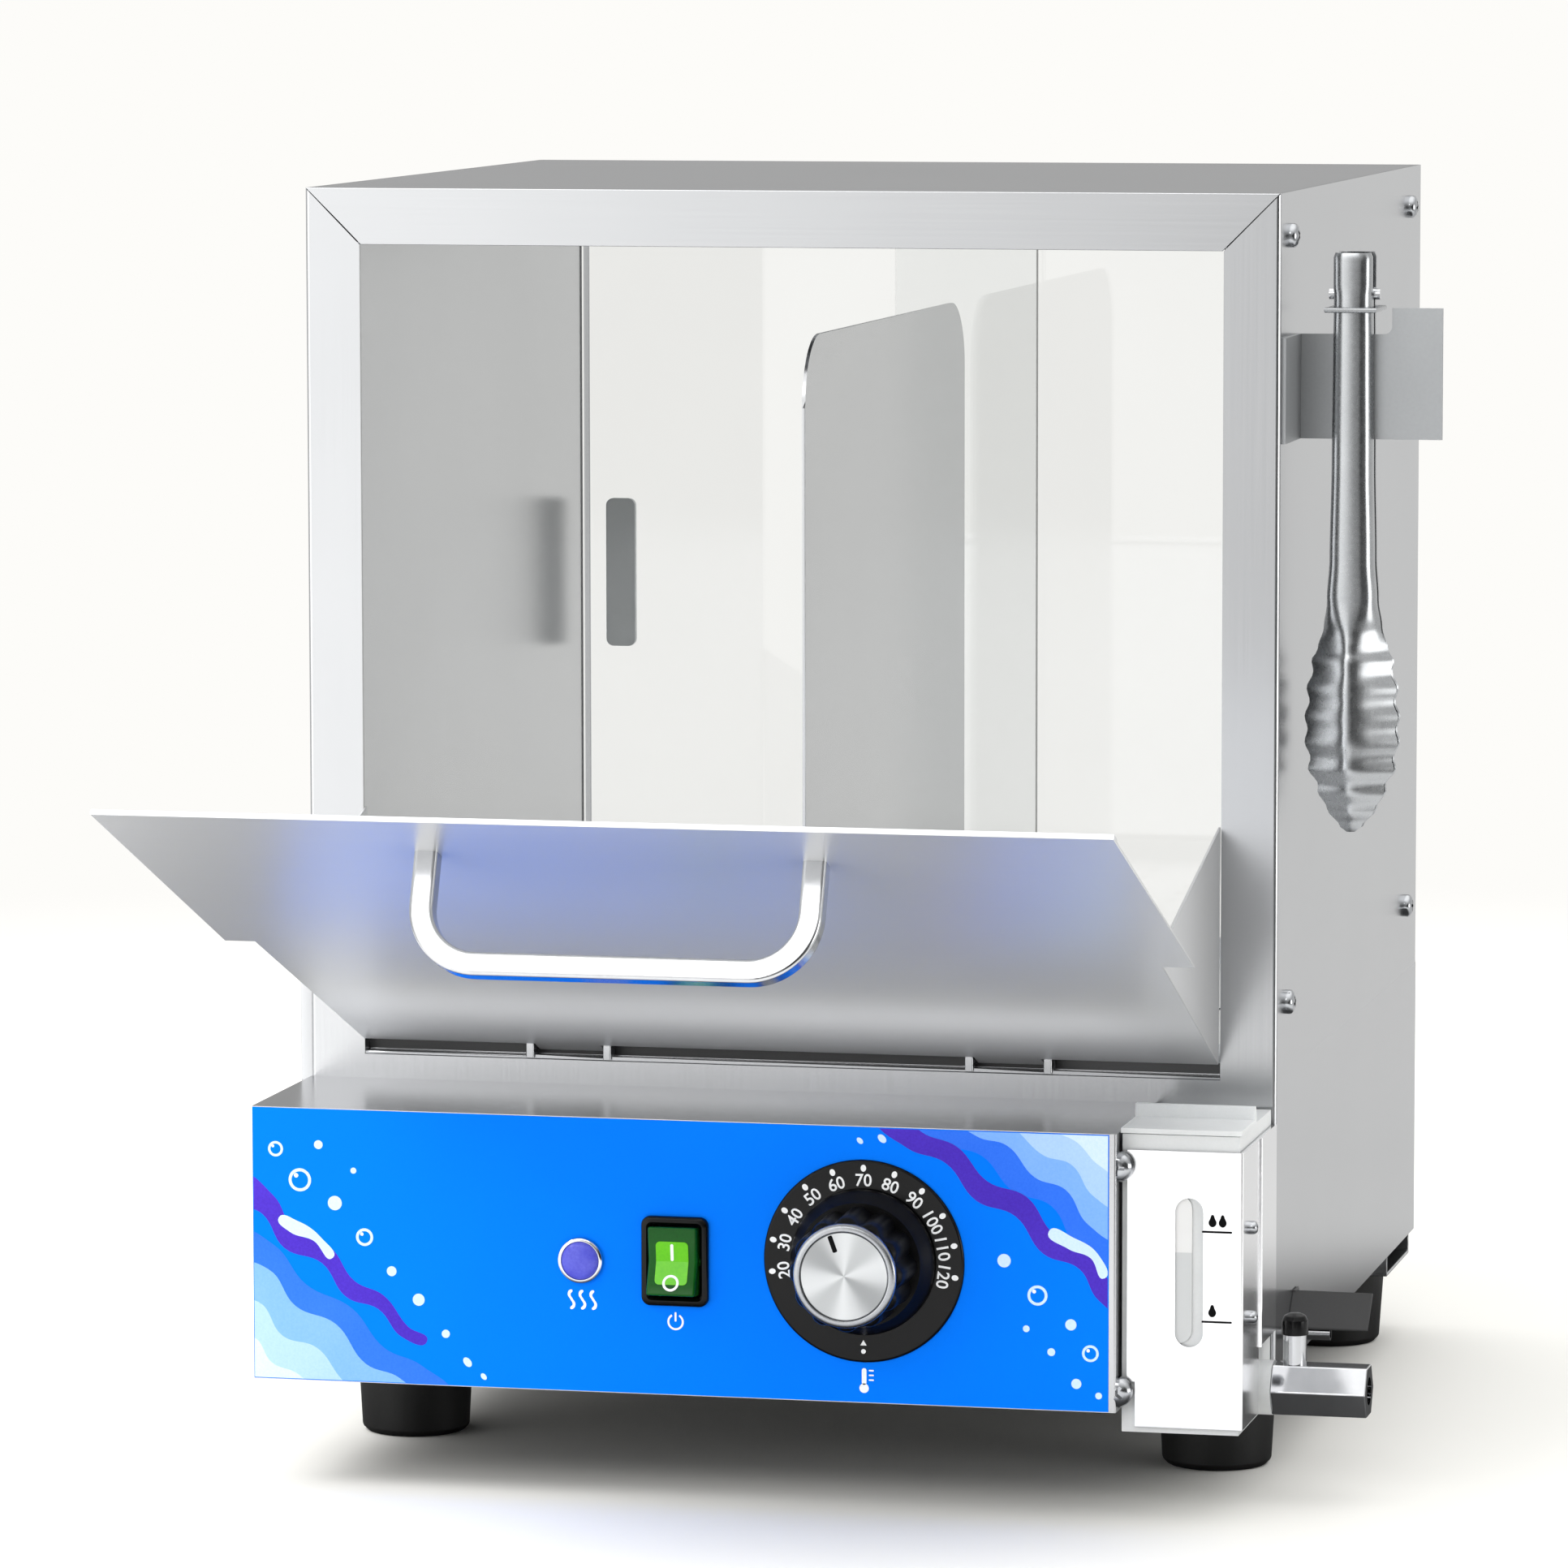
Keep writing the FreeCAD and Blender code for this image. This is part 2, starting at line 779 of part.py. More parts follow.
def make_door_handle():
    outer = s.handle_width / 2
    inner = outer - s.handle_bar
    reach = door_outer - s.handle_reach
    outline = [
        (-outer, door_outer),
        (-outer, reach),
        (outer, reach),
        (outer, door_outer),
        (inner, door_outer),
        (inner, reach + s.handle_bar),
        (-inner, reach + s.handle_bar),
        (-inner, door_outer),
    ]
    bar = plate("door_handle_bar", "Z", outline, s.handle_rise - s.handle_bar / 2,
                s.handle_rise + s.handle_bar / 2)
    rounded(bar, s.handle_corner, [(outer, reach), (-outer, reach)], "z")
    inner_corner = s.handle_corner - s.handle_bar
    rounded(bar, inner_corner, [(inner, reach + s.handle_bar), (-inner, reach + s.handle_bar)], "z")
    doc.recompute()
    long_edges = []
    for index, edge in enumerate(bar.Shape.Edges, start=1):
        box = edge.BoundBox
        flat = box.ZLength < s.running_gap.value
        at_root = box.YMin > door_outer.value - s.running_gap.value
        if flat and not at_root:
            long_edges.append(f"Edge{index}")
    soften(bar, s.handle_edge, long_edges)
    tools = []
    for index, across in enumerate(handle_screw_places()):
        tools.append(rod(f"handle_bore_{index}", s.shank_radius + s.running_gap,
                         s.shank_length + s.overrun, across, door_outer + s.overrun / 2,
                         s.handle_rise, "-Y"))
    node("door_handle", hang_on_hinge(cut("door_handle", bar, tools)))


def make_handle_screws():
    screws = [screw(f"handle_screw_{index}", across, door_inner, s.handle_rise, "+Y", s.shank_length)
              for index, across in enumerate(handle_screw_places())]
    node("handle_screws", hang_on_hinge(group("handle_screws", screws)))


def make_front_sill():
    across = (-(mouth - s.fit_gap), mouth - s.fit_gap)
    stop_front = hinge_y + s.tab_lip * sine(s.door_open_angle) + door_inner * cosine(s.door_open_angle)
    stop_front = stop_front + s.rest_gap
    stop_back = stop_front + s.sheet
    pieces = [
        block("sill_floor", across, (front + s.sill_setback, stop_back), (seam, seam + s.sheet)),
        block("sill_upstand", across, (stop_front, stop_back), (seam, seam + s.sill_upstand)),
    ]
    depth = (hinge_y - s.lug_front_reach, hinge_y + s.lug_back_reach)
    rise = (seam + s.sheet / 2, hinge_z + s.lug_top_reach)
    for index, (low, high) in enumerate(tab_spans()):
        left = (low - s.lug_gap - s.lug_width, low - s.lug_gap)
        right = (high + s.lug_gap, high + s.lug_gap + s.lug_width)
        pieces.append(block(f"sill_lug_{index}_left", left, depth, rise))
        pieces.append(block(f"sill_lug_{index}_right", right, depth, rise))
    bore = rod("sill_bore", s.hinge_rod_radius + s.running_gap, s.hinge_rod_length + s.overrun * 2,
               -s.hinge_rod_length / 2 - s.overrun, hinge_y, hinge_z, "+X")
    node("front_sill", cut("front_sill", fused("sill_folded", pieces), bore))


def make_hinge_rod():
    node("hinge_rod", rod("hinge_rod", s.hinge_rod_radius, s.hinge_rod_length,
                          -s.hinge_rod_length / 2, hinge_y, hinge_z, "+X"))


# Rear glass

track_width = s.track_sheet * 3 + s.track_groove * 2
track_back = back - s.sheet - s.track_back_gap
track_front = track_back - track_width


def groove_middle(index):
    """The middle of the front (0) or the rear (1) groove."""
    return track_front + s.track_sheet + s.track_groove / 2 + (s.track_sheet + s.track_groove) * index


def make_track(label, low, high, floor_span):
    across = (-(mouth - s.fit_gap), mouth - s.fit_gap)
    base = block(f"{label}_bar", across, (track_front, track_back), (low, high))
    grooves = []
    for index in (0, 1):
        middle = groove_middle(index)
        depth = (middle - s.track_groove / 2, middle + s.track_groove / 2)
        wide = (-(mouth + s.overrun), mouth + s.overrun)
        grooves.append(block(f"{label}_groove_{index}", wide, depth, floor_span))
    node(label, cut(label, base, grooves))


def make_tracks():
    low = seam
    high = seam + s.lower_track_height
    make_track("lower_track", low, high, (low + s.track_floor, high + s.overrun))
    low = ceiling - s.upper_track_height
    make_track("upper_track", low, ceiling, (low - s.overrun, ceiling - s.track_floor))


def make_glass(label, pull_label, side):
    """One sliding pane: the left one runs in the front groove, the right one in the rear."""
    middle = groove_middle(0 if side < 0 else 1)
    edge = mouth - s.glass_side_gap
    across = (-edge, s.glass_overlap_right) if side < 0 else (-s.glass_overlap_left, edge)
    depth = (middle - s.glass_thickness / 2, middle + s.glass_thickness / 2)
    low = seam + s.track_floor + s.rest_gap
    high = ceiling - s.track_floor - s.glass_top_gap
    node(label, block(label, across, depth, (low, high)))
    reach = span(side, edge - s.pull_edge - s.pull_width, edge - s.pull_edge)
    rise = (low + s.pull_rise, low + s.pull_rise + s.pull_height)
    outline = [(reach[0], rise[0]), (reach[1], rise[0]), (reach[1], rise[1]), (reach[0], rise[1])]
    pull = plate(f"{pull_label}_pad", "Y", outline, depth[1], depth[1] + s.pull_depth)
    corners = [(x, z) for x in reach for z in rise]
    rounded(pull, s.pull_width / 4, corners, "y")
    node(pull_label, pull)


# Base, tank and tray

tank_half = half_width - s.ledge_side - s.tank_side_gap
tank_front = front + s.ledge_front + s.tank_side_gap
tank_back = back - s.ledge_back - s.tank_side_gap
tank_low = seam - s.tank_depth
foot_places = [
    (half_width - s.foot_inset, front + s.foot_front_setback),
    (-(half_width - s.foot_inset), front + s.foot_front_setback),
    (half_width - s.foot_inset, back - s.foot_back_setback),
    (-(half_width - s.foot_inset), back - s.foot_back_setback),
]


def make_base_shell():
    corners = [
        (-half_width, front),
        (half_width, front),
        (half_width, back),
        (-half_width, back),
    ]
    shell = plate("base_block", "Z", corners, base_low, seam)
    rounded(shell, s.bend_radius, corners[:2], "z")
    inner = half_width - s.sheet
    ledge = half_width - s.ledge_side
    high = base_low + s.service_opening_high
    opening = s.service_opening_width / 2
    tools = [
        block("base_hollow", (-inner, inner), (front + s.sheet, back + s.overrun),
              (base_low - s.overrun, seam - s.sheet)),
        block("base_tank_opening", (-ledge, ledge), (front + s.ledge_front, back - s.ledge_back),
              (seam - s.sheet - s.overrun, seam + s.overrun)),
        block("base_service_opening", (-opening, opening), (front - s.overrun, front + s.sheet + s.overrun),
              (base_low + s.service_opening_low, high)),
        rod("base_link_hole", s.link_radius + s.fit_gap, s.sheet + s.overrun * 2, s.link_place,
            front - s.overrun, base_low + s.link_rise, "+Y"),
        rod("base_overflow_hole", s.overflow_radius + s.fit_gap, s.sheet + s.overrun * 2,
            half_width - s.sheet - s.overrun, front + s.overflow_place,
            base_low + s.overflow_rise, "+X"),
    ]
    node("base_shell", cut("base_shell", shell, tools))


def make_base_rear_panel():
    inner = half_width - s.sheet - s.fit_gap
    depth = (back - s.sheet, back)
    panel = block("rear_sheet", (-inner, inner), depth, (base_low, seam - s.sheet))
    cut_depth = (back - s.sheet - s.overrun, back + s.overrun)
    tools = []
    for side in (1, -1):
        across = span(side, s.rear_vent_centre - s.rear_vent_width / 2,
                      s.rear_vent_centre + s.rear_vent_width / 2)
        for index in range(int(s.rear_vent_count.value)):
            low = base_low + s.rear_vent_low + s.rear_vent_pitch * index
            tools.append(block(f"rear_vent_{side}_{index}", across, cut_depth,
                               (low, low + s.rear_vent_height)))
    tools.append(rod("rear_gland_hole", s.gland_radius + s.fit_gap, s.sheet + s.overrun * 2,
                     -s.gland_place, back - s.sheet - s.overrun, base_low + s.gland_rise, "+Y"))
    node("base_rear_panel", cut("base_rear_panel", panel, tools))


def make_cord_gland():
    flange = s.gland_nut_length / 2
    outline = [
        (s.gland_bore, -(s.sheet + s.gland_nut_length)),
        (s.gland_radius, -(s.sheet + s.gland_nut_length)),
        (s.gland_radius, zero),
        (s.gland_nut_radius, zero),
        (s.gland_nut_radius, flange),
        (s.gland_radius, s.gland_nut_length),
        (s.gland_radius - s.sheet, s.gland_nose),
        (s.gland_bore, s.gland_nose),
    ]
    node("cord_gland", turned("cord_gland", outline, -s.gland_place, back,
                              base_low + s.gland_rise, "+Y"))


def make_bottom_plate():
    inner = half_width - s.sheet - s.fit_gap
    depth = (front + s.sheet + s.fit_gap, back - s.sheet - s.fit_gap)
    panel = block("bottom_sheet", (-inner, inner), depth, (base_low, base_low + s.sheet))
    tools = []
    for index, (x, y) in enumerate(foot_places):
        tools.append(rod(f"bottom_hole_{index}", s.shank_radius + s.fit_gap,
                         s.sheet + s.overrun * 2, x, y, base_low - s.overrun, "+Z"))
    node("bottom_plate", cut("bottom_plate", panel, tools))


def make_rear_foot_channel():
    low = base_low - s.channel_height
    depth = (back - s.channel_front_setback, back - s.channel_back_setback)
    outer = half_width - s.fit_gap
    inside = (depth[0] + s.sheet, depth[1] - s.sheet)
    hollow_half = half_width + s.overrun
    tools = [block("channel_hollow", (-hollow_half, hollow_half), inside,
                   (low + s.sheet, base_low + s.overrun))]
    for index, (x, y) in enumerate(foot_places[2:]):
        tools.append(rod(f"channel_hole_{index}", s.shank_radius + s.fit_gap,
                         s.sheet + s.overrun * 2, x, y, low - s.overrun, "+Z"))
    bar = block("channel_bar", (-outer, outer), depth, (low, base_low))
    node("rear_foot_channel", cut("rear_foot_channel", bar, tools))


def foot(name, x, y, height):
    """A tapered rubber foot with a recess for its screw."""
    outline = [
        (s.shank_radius + s.running_gap, height),
        (s.shank_radius + s.running_gap, s.foot_recess_depth),
        (s.foot_recess_radius, s.foot_recess_depth),
        (s.foot_recess_radius, zero),
        (s.foot_tip_radius - s.foot_edge, zero),
        (s.foot_tip_radius, s.foot_edge),
        (s.foot_top_radius, height),
    ]
    return turned(name, outline, x, y, zero, "+Z")


def make_feet():
    rear_height = base_low - s.channel_height
    heights = (s.foot_height, s.foot_height, rear_height, rear_height)
    feet = [foot(f"foot_{index}", x, y, height)
            for index, ((x, y), height) in enumerate(zip(foot_places, heights))]
    node("front_feet", group("front_feet", feet[:2]))
    node("rear_feet", group("rear_feet", feet[2:]))
    screws = [screw(f"foot_screw_{index}", x, y, s.foot_recess_depth, "-Z", s.foot_screw_length)
              for index, (x, y) in enumerate(foot_places)]
    node("foot_screws", group("foot_screws", screws))


def make_water_tank():
    rim_half = tank_half + s.tank_rim
    outer = block("tank_pan", (-tank_half, tank_half), (tank_front, tank_back), (tank_low, seam))
    rim = block("tank_rim", (-rim_half, rim_half), (tank_front - s.tank_rim, tank_back + s.tank_rim),
                (seam, seam + s.tank_wall))
    inner_half = tank_half - s.tank_wall
    hollow = block("tank_hollow", (-inner_half, inner_half),
                   (tank_front + s.tank_wall, tank_back - s.tank_wall),
                   (tank_low + s.tank_wall, seam + s.tank_wall + s.overrun))
    through = s.tank_wall + s.overrun * 2
    start = tank_front - s.overrun
    tools = [hollow]
    for index, across in enumerate(element_ends()):
        tools.append(rod(f"tank_element_hole_{index}", s.element_radius + s.running_gap, through,
                         across, start, tank_low + s.element_rise, "+Y"))
    tools.append(rod("tank_bulb_hole", s.bulb_radius + s.running_gap, through, s.dial_place, start,
                     tank_low + s.bulb_rise, "+Y"))
    tools.append(rod("tank_link_hole", s.link_radius + s.running_gap, through, s.link_place, start,
                     base_low + s.link_rise, "+Y"))
    node("water_tank", cut("water_tank", fused("tank_pressed", [outer, rim]), tools))


def element_ends():
    return [s.element_pitch * LEG_SHARES[0], s.element_pitch * LEG_SHARES[-1]]


def make_heating_element():
    """Four legs joined by three bends; both ends leave through the tank's front wall in a collar."""
    height = tank_low + s.element_rise
    near = front + s.element_front
    far = back - s.element_back
    stub = tank_front - s.element_stub
    bend = s.element_pitch / 2
    legs = []
    for index, share in enumerate(LEG_SHARES):
        across = s.element_pitch * share
        start = stub if share in (LEG_SHARES[0], LEG_SHARES[-1]) else near
        legs.append(rod(f"element_leg_{index}", s.element_radius, far - start, across, start, height, "+Y"))
    for index, (step, y, turn) in enumerate(((-1, far, 0), (0, near, HALF_TURN), (1, far, 0))):
        arc = doc.addObject("Part::Torus", f"element_bend_{index}")
        bind(arc, "Radius1", bend)
        bind(arc, "Radius2", s.element_radius)
        arc.Angle3 = HALF_TURN
        arc.Placement = FreeCAD.Placement(FreeCAD.Vector(),
                                          FreeCAD.Rotation(FreeCAD.Vector(0, 0, 1), turn))
        for letter, size in zip("xyz", (s.element_pitch * step, y, height)):
            bind(arc, f"Placement.Base.{letter}", size)
        legs.append(arc)
    for index, across in enumerate(element_ends()):
        legs.append(rod(f"element_collar_{index}", s.element_collar_radius, s.element_collar_length,
                        across, tank_front - s.element_collar_length, height, "+Y"))
    node("heating_element", fused("heating_element", legs))


def make_steam_tray():
    half = mouth - s.tray_side_gap
    low = seam + s.tank_wall + s.rest_gap
    high = low + s.tray_height
    depth = (front + s.tray_front_setback, back - s.tray_back_setback)
    corners = [(-half, depth[0]), (half, depth[0]), (half, depth[1]), (-half, depth[1])]
    body = plate("steam_tray", "Z", corners, low, high)
    wall = s.tray_wall
    inner = [
        (-(half - wall), depth[0] + wall),
        (half - wall, depth[0] + wall),
        (half - wall, depth[1] - wall),
        (-(half - wall), depth[1] - wall),
    ]
    dish = outline_sketch(body, "XY_Plane", high, inner)
    pocket = body.newObject("PartDesign::Pocket", "steam_tray_dish")
    pocket.Profile = dish
    bind(pocket, "Length", s.tray_height - wall)
    hole_sketch = body.newObject("Sketcher::SketchObject", "steam_tray_hole")
    plane = next(item for item in body.Origin.OriginFeatures if item.Role == "XY_Plane")
    hole_sketch.AttachmentSupport = [(plane, "")]
    hole_sketch.MapMode = "FlatFace"
    bind(hole_sketch, "AttachmentOffset.Base.z", low + wall)
    across_run = s.tray_hole_pitch * (s.tray_holes_across - 1)
    deep_run = s.tray_hole_pitch * (s.tray_holes_deep - 1)
    first_x = -across_run / 2
    first_y = (depth[0] + depth[1]) / 2 - deep_run / 2
    centre = FreeCAD.Vector(first_x.value, first_y.value, 0)
    circle = Part.Circle(centre, FreeCAD.Vector(0, 0, 1), s.tray_hole_radius.value)
    hole_sketch.addGeometry(circle)
    for kind, size in (("DistanceX", first_x), ("DistanceY", first_y)):
        rule = Sketcher.Constraint(kind, ORIGIN_POINT, START, 0, CENTRE, size.value)
        bind(hole_sketch, f"Constraints[{hole_sketch.addConstraint(rule)}]", size)
    rule = Sketcher.Constraint("Radius", 0, s.tray_hole_radius.value)
    bind(hole_sketch, f"Constraints[{hole_sketch.addConstraint(rule)}]", s.tray_hole_radius)
    hole = body.newObject("PartDesign::Pocket", "steam_tray_punch")
    hole.Profile = hole_sketch
    bind(hole, "Length", wall + s.overrun)
    grid = body.newObject("PartDesign::MultiTransform", "steam_tray_grid")
    grid.Originals = [hole]
    patterns = []
    for letter, run, count in (("H", across_run, s.tray_holes_across), ("V", deep_run, s.tray_holes_deep)):
        pattern = body.newObject("PartDesign::LinearPattern", f"steam_tray_row_{letter}")
        pattern.Direction = (hole_sketch, [f"{letter}_Axis"])
        bind(pattern, "Length", run)
        bind(pattern, "Occurrences", count)
        patterns.append(pattern)
    grid.Transformations = patterns
    body.Tip = grid
    node("steam_tray", body)


def make_divider():
    low = seam + s.tank_wall + s.rest_gap + s.tray_wall + s.rest_gap
    high = low + s.divider_height
    near = front + s.divider_front_setback
    far = back - s.divider_back_setback
    half = s.divider_sheet / 2
    outline = [(near, low), (far, low), (far, high), (near, high)]
    wall = plate("divider_wall", "X", outline, -half, half)
    rounded(wall, s.divider_corner, [(near, high), (far, high)], "x")
    foot_half = s.divider_foot / 2
    foot_plate = block("divider_foot_plate", (-foot_half, foot_half), (near, far),
                       (low, low + s.divider_sheet))
    node("divider", fused("divider", [wall, foot_plate]))


# Control box and its controls

def panel_screw_places():
    return [base_low + s.panel_screw_low, control_top - s.panel_screw_high]


def control_opening(name, half_wide, half_high, across, rise, depth):
    return block(name, (across - half_wide, across + half_wide), depth, (rise - half_high, rise + half_high))


switch_z = base_low + s.switch_rise
lamp_z = base_low + s.lamp_rise
dial_z = base_low + s.dial_rise
skin_front = panel_front - s.overlay_thickness


def front_holes(name, depth_start, depth):
    """The openings for switch, lamp and knob, shared by the box and its overlay."""
    inner_wide = s.switch_width / 2 - s.switch_wall + s.fit_gap
    inner_high = s.switch_height / 2 - s.switch_wall + s.fit_gap
    return [
        control_opening(f"{name}_switch_hole", inner_wide, inner_high, s.switch_place, switch_z,
                        (depth_start, depth_start + depth)),
        rod(f"{name}_lamp_hole", s.lamp_body_radius + s.fit_gap, depth, s.lamp_place, depth_start,
            lamp_z, "+Y"),
        rod(f"{name}_dial_hole", s.bush_radius + s.fit_gap, depth, s.dial_place, depth_start, dial_z, "+Y"),
    ]


def make_control_box():
    corners = [
        (-half_width, panel_front),
        (control_right, panel_front),
        (control_right, front),
        (-half_width, front),
    ]
    shell = plate("control_block", "Z", corners, base_low, control_top)
    rounded(shell, s.bend_radius / 2, corners[:2], "z")
    hollow = block("control_hollow", (-half_width + s.sheet, control_right - s.sheet),
                   (panel_front + s.sheet, front + s.overrun),
                   (base_low + s.sheet, control_top - s.sheet))
    tools = [hollow] + front_holes("control", panel_front - s.overrun, s.sheet + s.overrun * 2)
    for index, height in enumerate(panel_screw_places()):
        tools.append(rod(f"control_screw_hole_{index}", s.shank_radius + s.fit_gap,
                         s.shank_length + s.overrun, control_right + s.overrun / 2,
                         panel_front + s.panel_screw_setback, height, "-X"))
    node("control_box", cut("control_box", shell, tools))


def make_panel_overlay():
    across = (-half_width + s.overlay_edge, control_right - s.overlay_bare_strip)
    film = block("overlay_film", across, (skin_front, panel_front),
                 (base_low + s.overlay_edge, control_top - s.overlay_edge))
    tools = front_holes("overlay", skin_front - s.overrun, s.overlay_thickness + s.overrun * 2)
    node("panel_overlay", cut("panel_overlay", film, tools))


def make_dial_plate():
    outline = [
        (s.dial_bore, zero),
        (s.dial_radius, zero),
        (s.dial_radius, s.dial_thickness - s.dial_bevel),
        (s.dial_radius - s.dial_bevel, s.dial_thickness),
        (s.dial_bore, s.dial_thickness),
    ]
    node("dial_plate", turned("dial_plate", outline, s.dial_place, skin_front, dial_z, "-Y"))


def make_thermostat():
    rear = panel_front + s.sheet
    half_wide = s.thermostat_width / 2
    half_high = s.thermostat_height / 2
    case = block("thermostat_case", (s.dial_place - half_wide, s.dial_place + half_wide),
                 (rear, rear + s.thermostat_depth), (dial_z - half_high, dial_z + half_high))
    bush = rod("thermostat_bush", s.bush_radius, s.bush_length, s.dial_place, rear + s.running_gap,
               dial_z, "-Y")
    bore = rod("thermostat_bore", s.shaft_radius + s.running_gap, s.shaft_inside + s.bush_length + s.overrun,
               s.dial_place, rear - s.bush_length - s.overrun, dial_z, "+Y")
    node("thermostat_body", cut("thermostat_body", fused("thermostat_cased", [case, bush]), bore))
    start = rear + s.shaft_inside - s.overrun
    length = start - skin_front + s.shaft_outside
    node("thermostat_shaft", rod("thermostat_shaft", s.shaft_radius, length, s.dial_place, start,
                                 dial_z, "-Y"))


def make_sensor_bulb():
    """The bulb in the tank, its gland on the front wall and the capillary to the thermostat."""
    height = tank_low + s.bulb_rise
    case_back = panel_front + s.sheet + s.thermostat_depth
    bulb_start = tank_front - s.bulb_gland_length - s.overrun
    pieces = [
        rod("bulb_body", s.bulb_radius, s.bulb_length, s.dial_place, bulb_start, height, "+Y"),
        rod("bulb_gland", s.bulb_gland_radius, s.bulb_gland_length, s.dial_place,
            tank_front - s.bulb_gland_length, height, "+Y"),
        rod("bulb_capillary", s.capillary_radius, bulb_start - case_back + s.overrun, s.dial_place,
            case_back, height, "+Y"),
    ]
    node("sensor_bulb", fused("sensor_bulb", pieces))


def make_knob():
    base_gap = s.dial_thickness + s.knob_gap
    bore = s.shaft_radius + s.running_gap
    depth = s.shaft_outside
    outline = [
        (bore, base_gap),
        (s.knob_skirt_radius, base_gap),
        (s.knob_skirt_radius, base_gap + s.knob_skirt_height / 2),
        (s.knob_grip_radius + s.knob_gap, base_gap + s.knob_skirt_height),
        (s.knob_grip_radius, base_gap + s.knob_skirt_height + s.knob_gap),
        (s.knob_front_radius, s.knob_height),
        (zero, s.knob_height),
        (zero, depth),
        (bore, depth),
    ]
    body = turned("knob_turned", outline, s.dial_place, skin_front, dial_z, "-Y")
    flutes = []
    count = int(s.knob_flutes.value)
    reach = s.knob_grip_radius + s.knob_flute_radius / 2
    low = base_gap + s.knob_skirt_height + s.knob_gap * 2
    for index in range(count):
        angle = as_size(index) * FULL_TURN / s.knob_flutes
        flutes.append(rod(f"knob_flute_{index}", s.knob_flute_radius, s.knob_height - low + s.overrun,
                          s.dial_place + reach * sine(angle), skin_front - low,
                          dial_z + reach * cosine(angle), "-Y"))
    node("knob_body", cut("knob_body", body, flutes))
    face = [
        (zero, s.knob_height),
        (s.knob_front_radius - s.knob_flute_radius, s.knob_height),
        (s.knob_front_radius - s.knob_flute_radius, s.knob_height + s.cap_height / 2),
        (s.cap_face_radius, s.knob_height + s.cap_height),
        (zero, s.knob_height + s.cap_height),
    ]
    node("knob_cap", turned("knob_cap", face, s.dial_place, skin_front, dial_z, "-Y"))


def make_switch():
    half_wide = s.switch_width / 2
    half_high = s.switch_height / 2
    wall = s.switch_wall
    bezel = control_opening("switch_flange_block", half_wide, half_high, s.switch_place, switch_z,
                            (skin_front - s.switch_flange, skin_front))
    case = control_opening("switch_case_block", half_wide - wall, half_high - wall, s.switch_place,
                           switch_z, (skin_front - s.switch_flange / 2, skin_front + s.switch_depth))
    gap = s.rest_gap
    hollow = control_opening("switch_hollow", s.rocker_width / 2 + gap, s.rocker_height / 2 + gap * 2,
                             s.switch_place, switch_z,
                             (skin_front - s.switch_flange - s.overrun,
                              skin_front + s.rocker_inside + wall))
    pivot = rod("switch_pivot", s.rocker_pin_radius + s.running_gap, s.switch_width,
                s.switch_place - half_wide, skin_front, switch_z, "+X")
    node("switch_bezel", cut("switch_bezel", fused("switch_moulded", [bezel, case]), [hollow, pivot]))
    # The rocker pivots on a pin in the plane of the panel, and rests with its top pressed in
    half = s.rocker_height / 2 - gap
    rise = half * sine(s.rocker_tilt)
    profile = [
        (-s.rocker_reach - rise, -half),
        (-s.rocker_reach + rise, zero),
        (-s.rocker_reach - rise, half),
        (s.rocker_inside / 2, half),
        (s.rocker_inside - gap, zero),
        (s.rocker_inside / 2, -half),
    ]
    half_rocker = s.rocker_width / 2
    key = plate("rocker_key", "X", profile, -half_rocker, half_rocker)
    pin = rod("rocker_pin", s.rocker_pin_radius, s.rocker_pin_reach * 2, -s.rocker_pin_reach, zero, zero,
              "+X")
    rocker = fused("switch_rocker", [key, pin])
    turn = FreeCAD.Rotation(FreeCAD.Vector(-1, 0, 0), s.rocker_tilt.value)
    rocker.Placement = FreeCAD.Placement(FreeCAD.Vector(), turn)
    bind(rocker, "Placement.Rotation.Angle", s.rocker_tilt)
    for letter, size in zip("xyz", (s.switch_place, skin_front, switch_z)):
        bind(rocker, f"Placement.Base.{letter}", size)
    node("switch_rocker", rocker)


def make_lamp():
    wall = s.lamp_body_radius - s.lens_edge
    outline = [
        (wall, -s.lamp_depth),
        (s.lamp_body_radius, -s.lamp_depth),
        (s.lamp_body_radius, zero),
        (s.lamp_radius, zero),
        (s.lamp_radius - s.lens_edge / 2, s.lamp_flange),
        (s.lens_radius + s.running_gap, s.lamp_flange),
        (s.lens_radius + s.running_gap, s.lens_edge),
        (wall, s.lens_edge),
    ]
    node("lamp_bezel", turned("lamp_bezel", outline, s.lamp_place, skin_front, lamp_z, "-Y"))
    lens = [
        (zero, s.lens_edge),
        (s.lens_radius, s.lens_edge),
        (s.lens_radius, s.lens_reach - s.lens_edge),
        (s.lens_radius - s.lens_edge, s.lens_reach - s.lens_edge / 2),
        (zero, s.lens_reach),
    ]
    node("lamp_lens", turned("lamp_lens", lens, s.lamp_place, skin_front, lamp_z, "-Y"))


# Water gauge and drain valve

gauge_left = control_right + s.gauge_gap
gauge_front = panel_front + s.gauge_front_setback
gauge_cover_outer = half_width + s.gauge_cover_right
gauge_right = gauge_cover_outer - s.gauge_cover_sheet - s.gauge_side_gap
gauge_low = base_low - s.gauge_low
gauge_high = base_low + s.gauge_high
gauge_back = front - s.gauge_back_gap
valve_y = front - s.valve_back
valve_z = base_low + s.valve_rise
boss_end = gauge_right + s.boss_length
lid_hinge_y = front - s.lid_hinge_back
lid_hinge_z = gauge_high + s.lid_hinge_rise


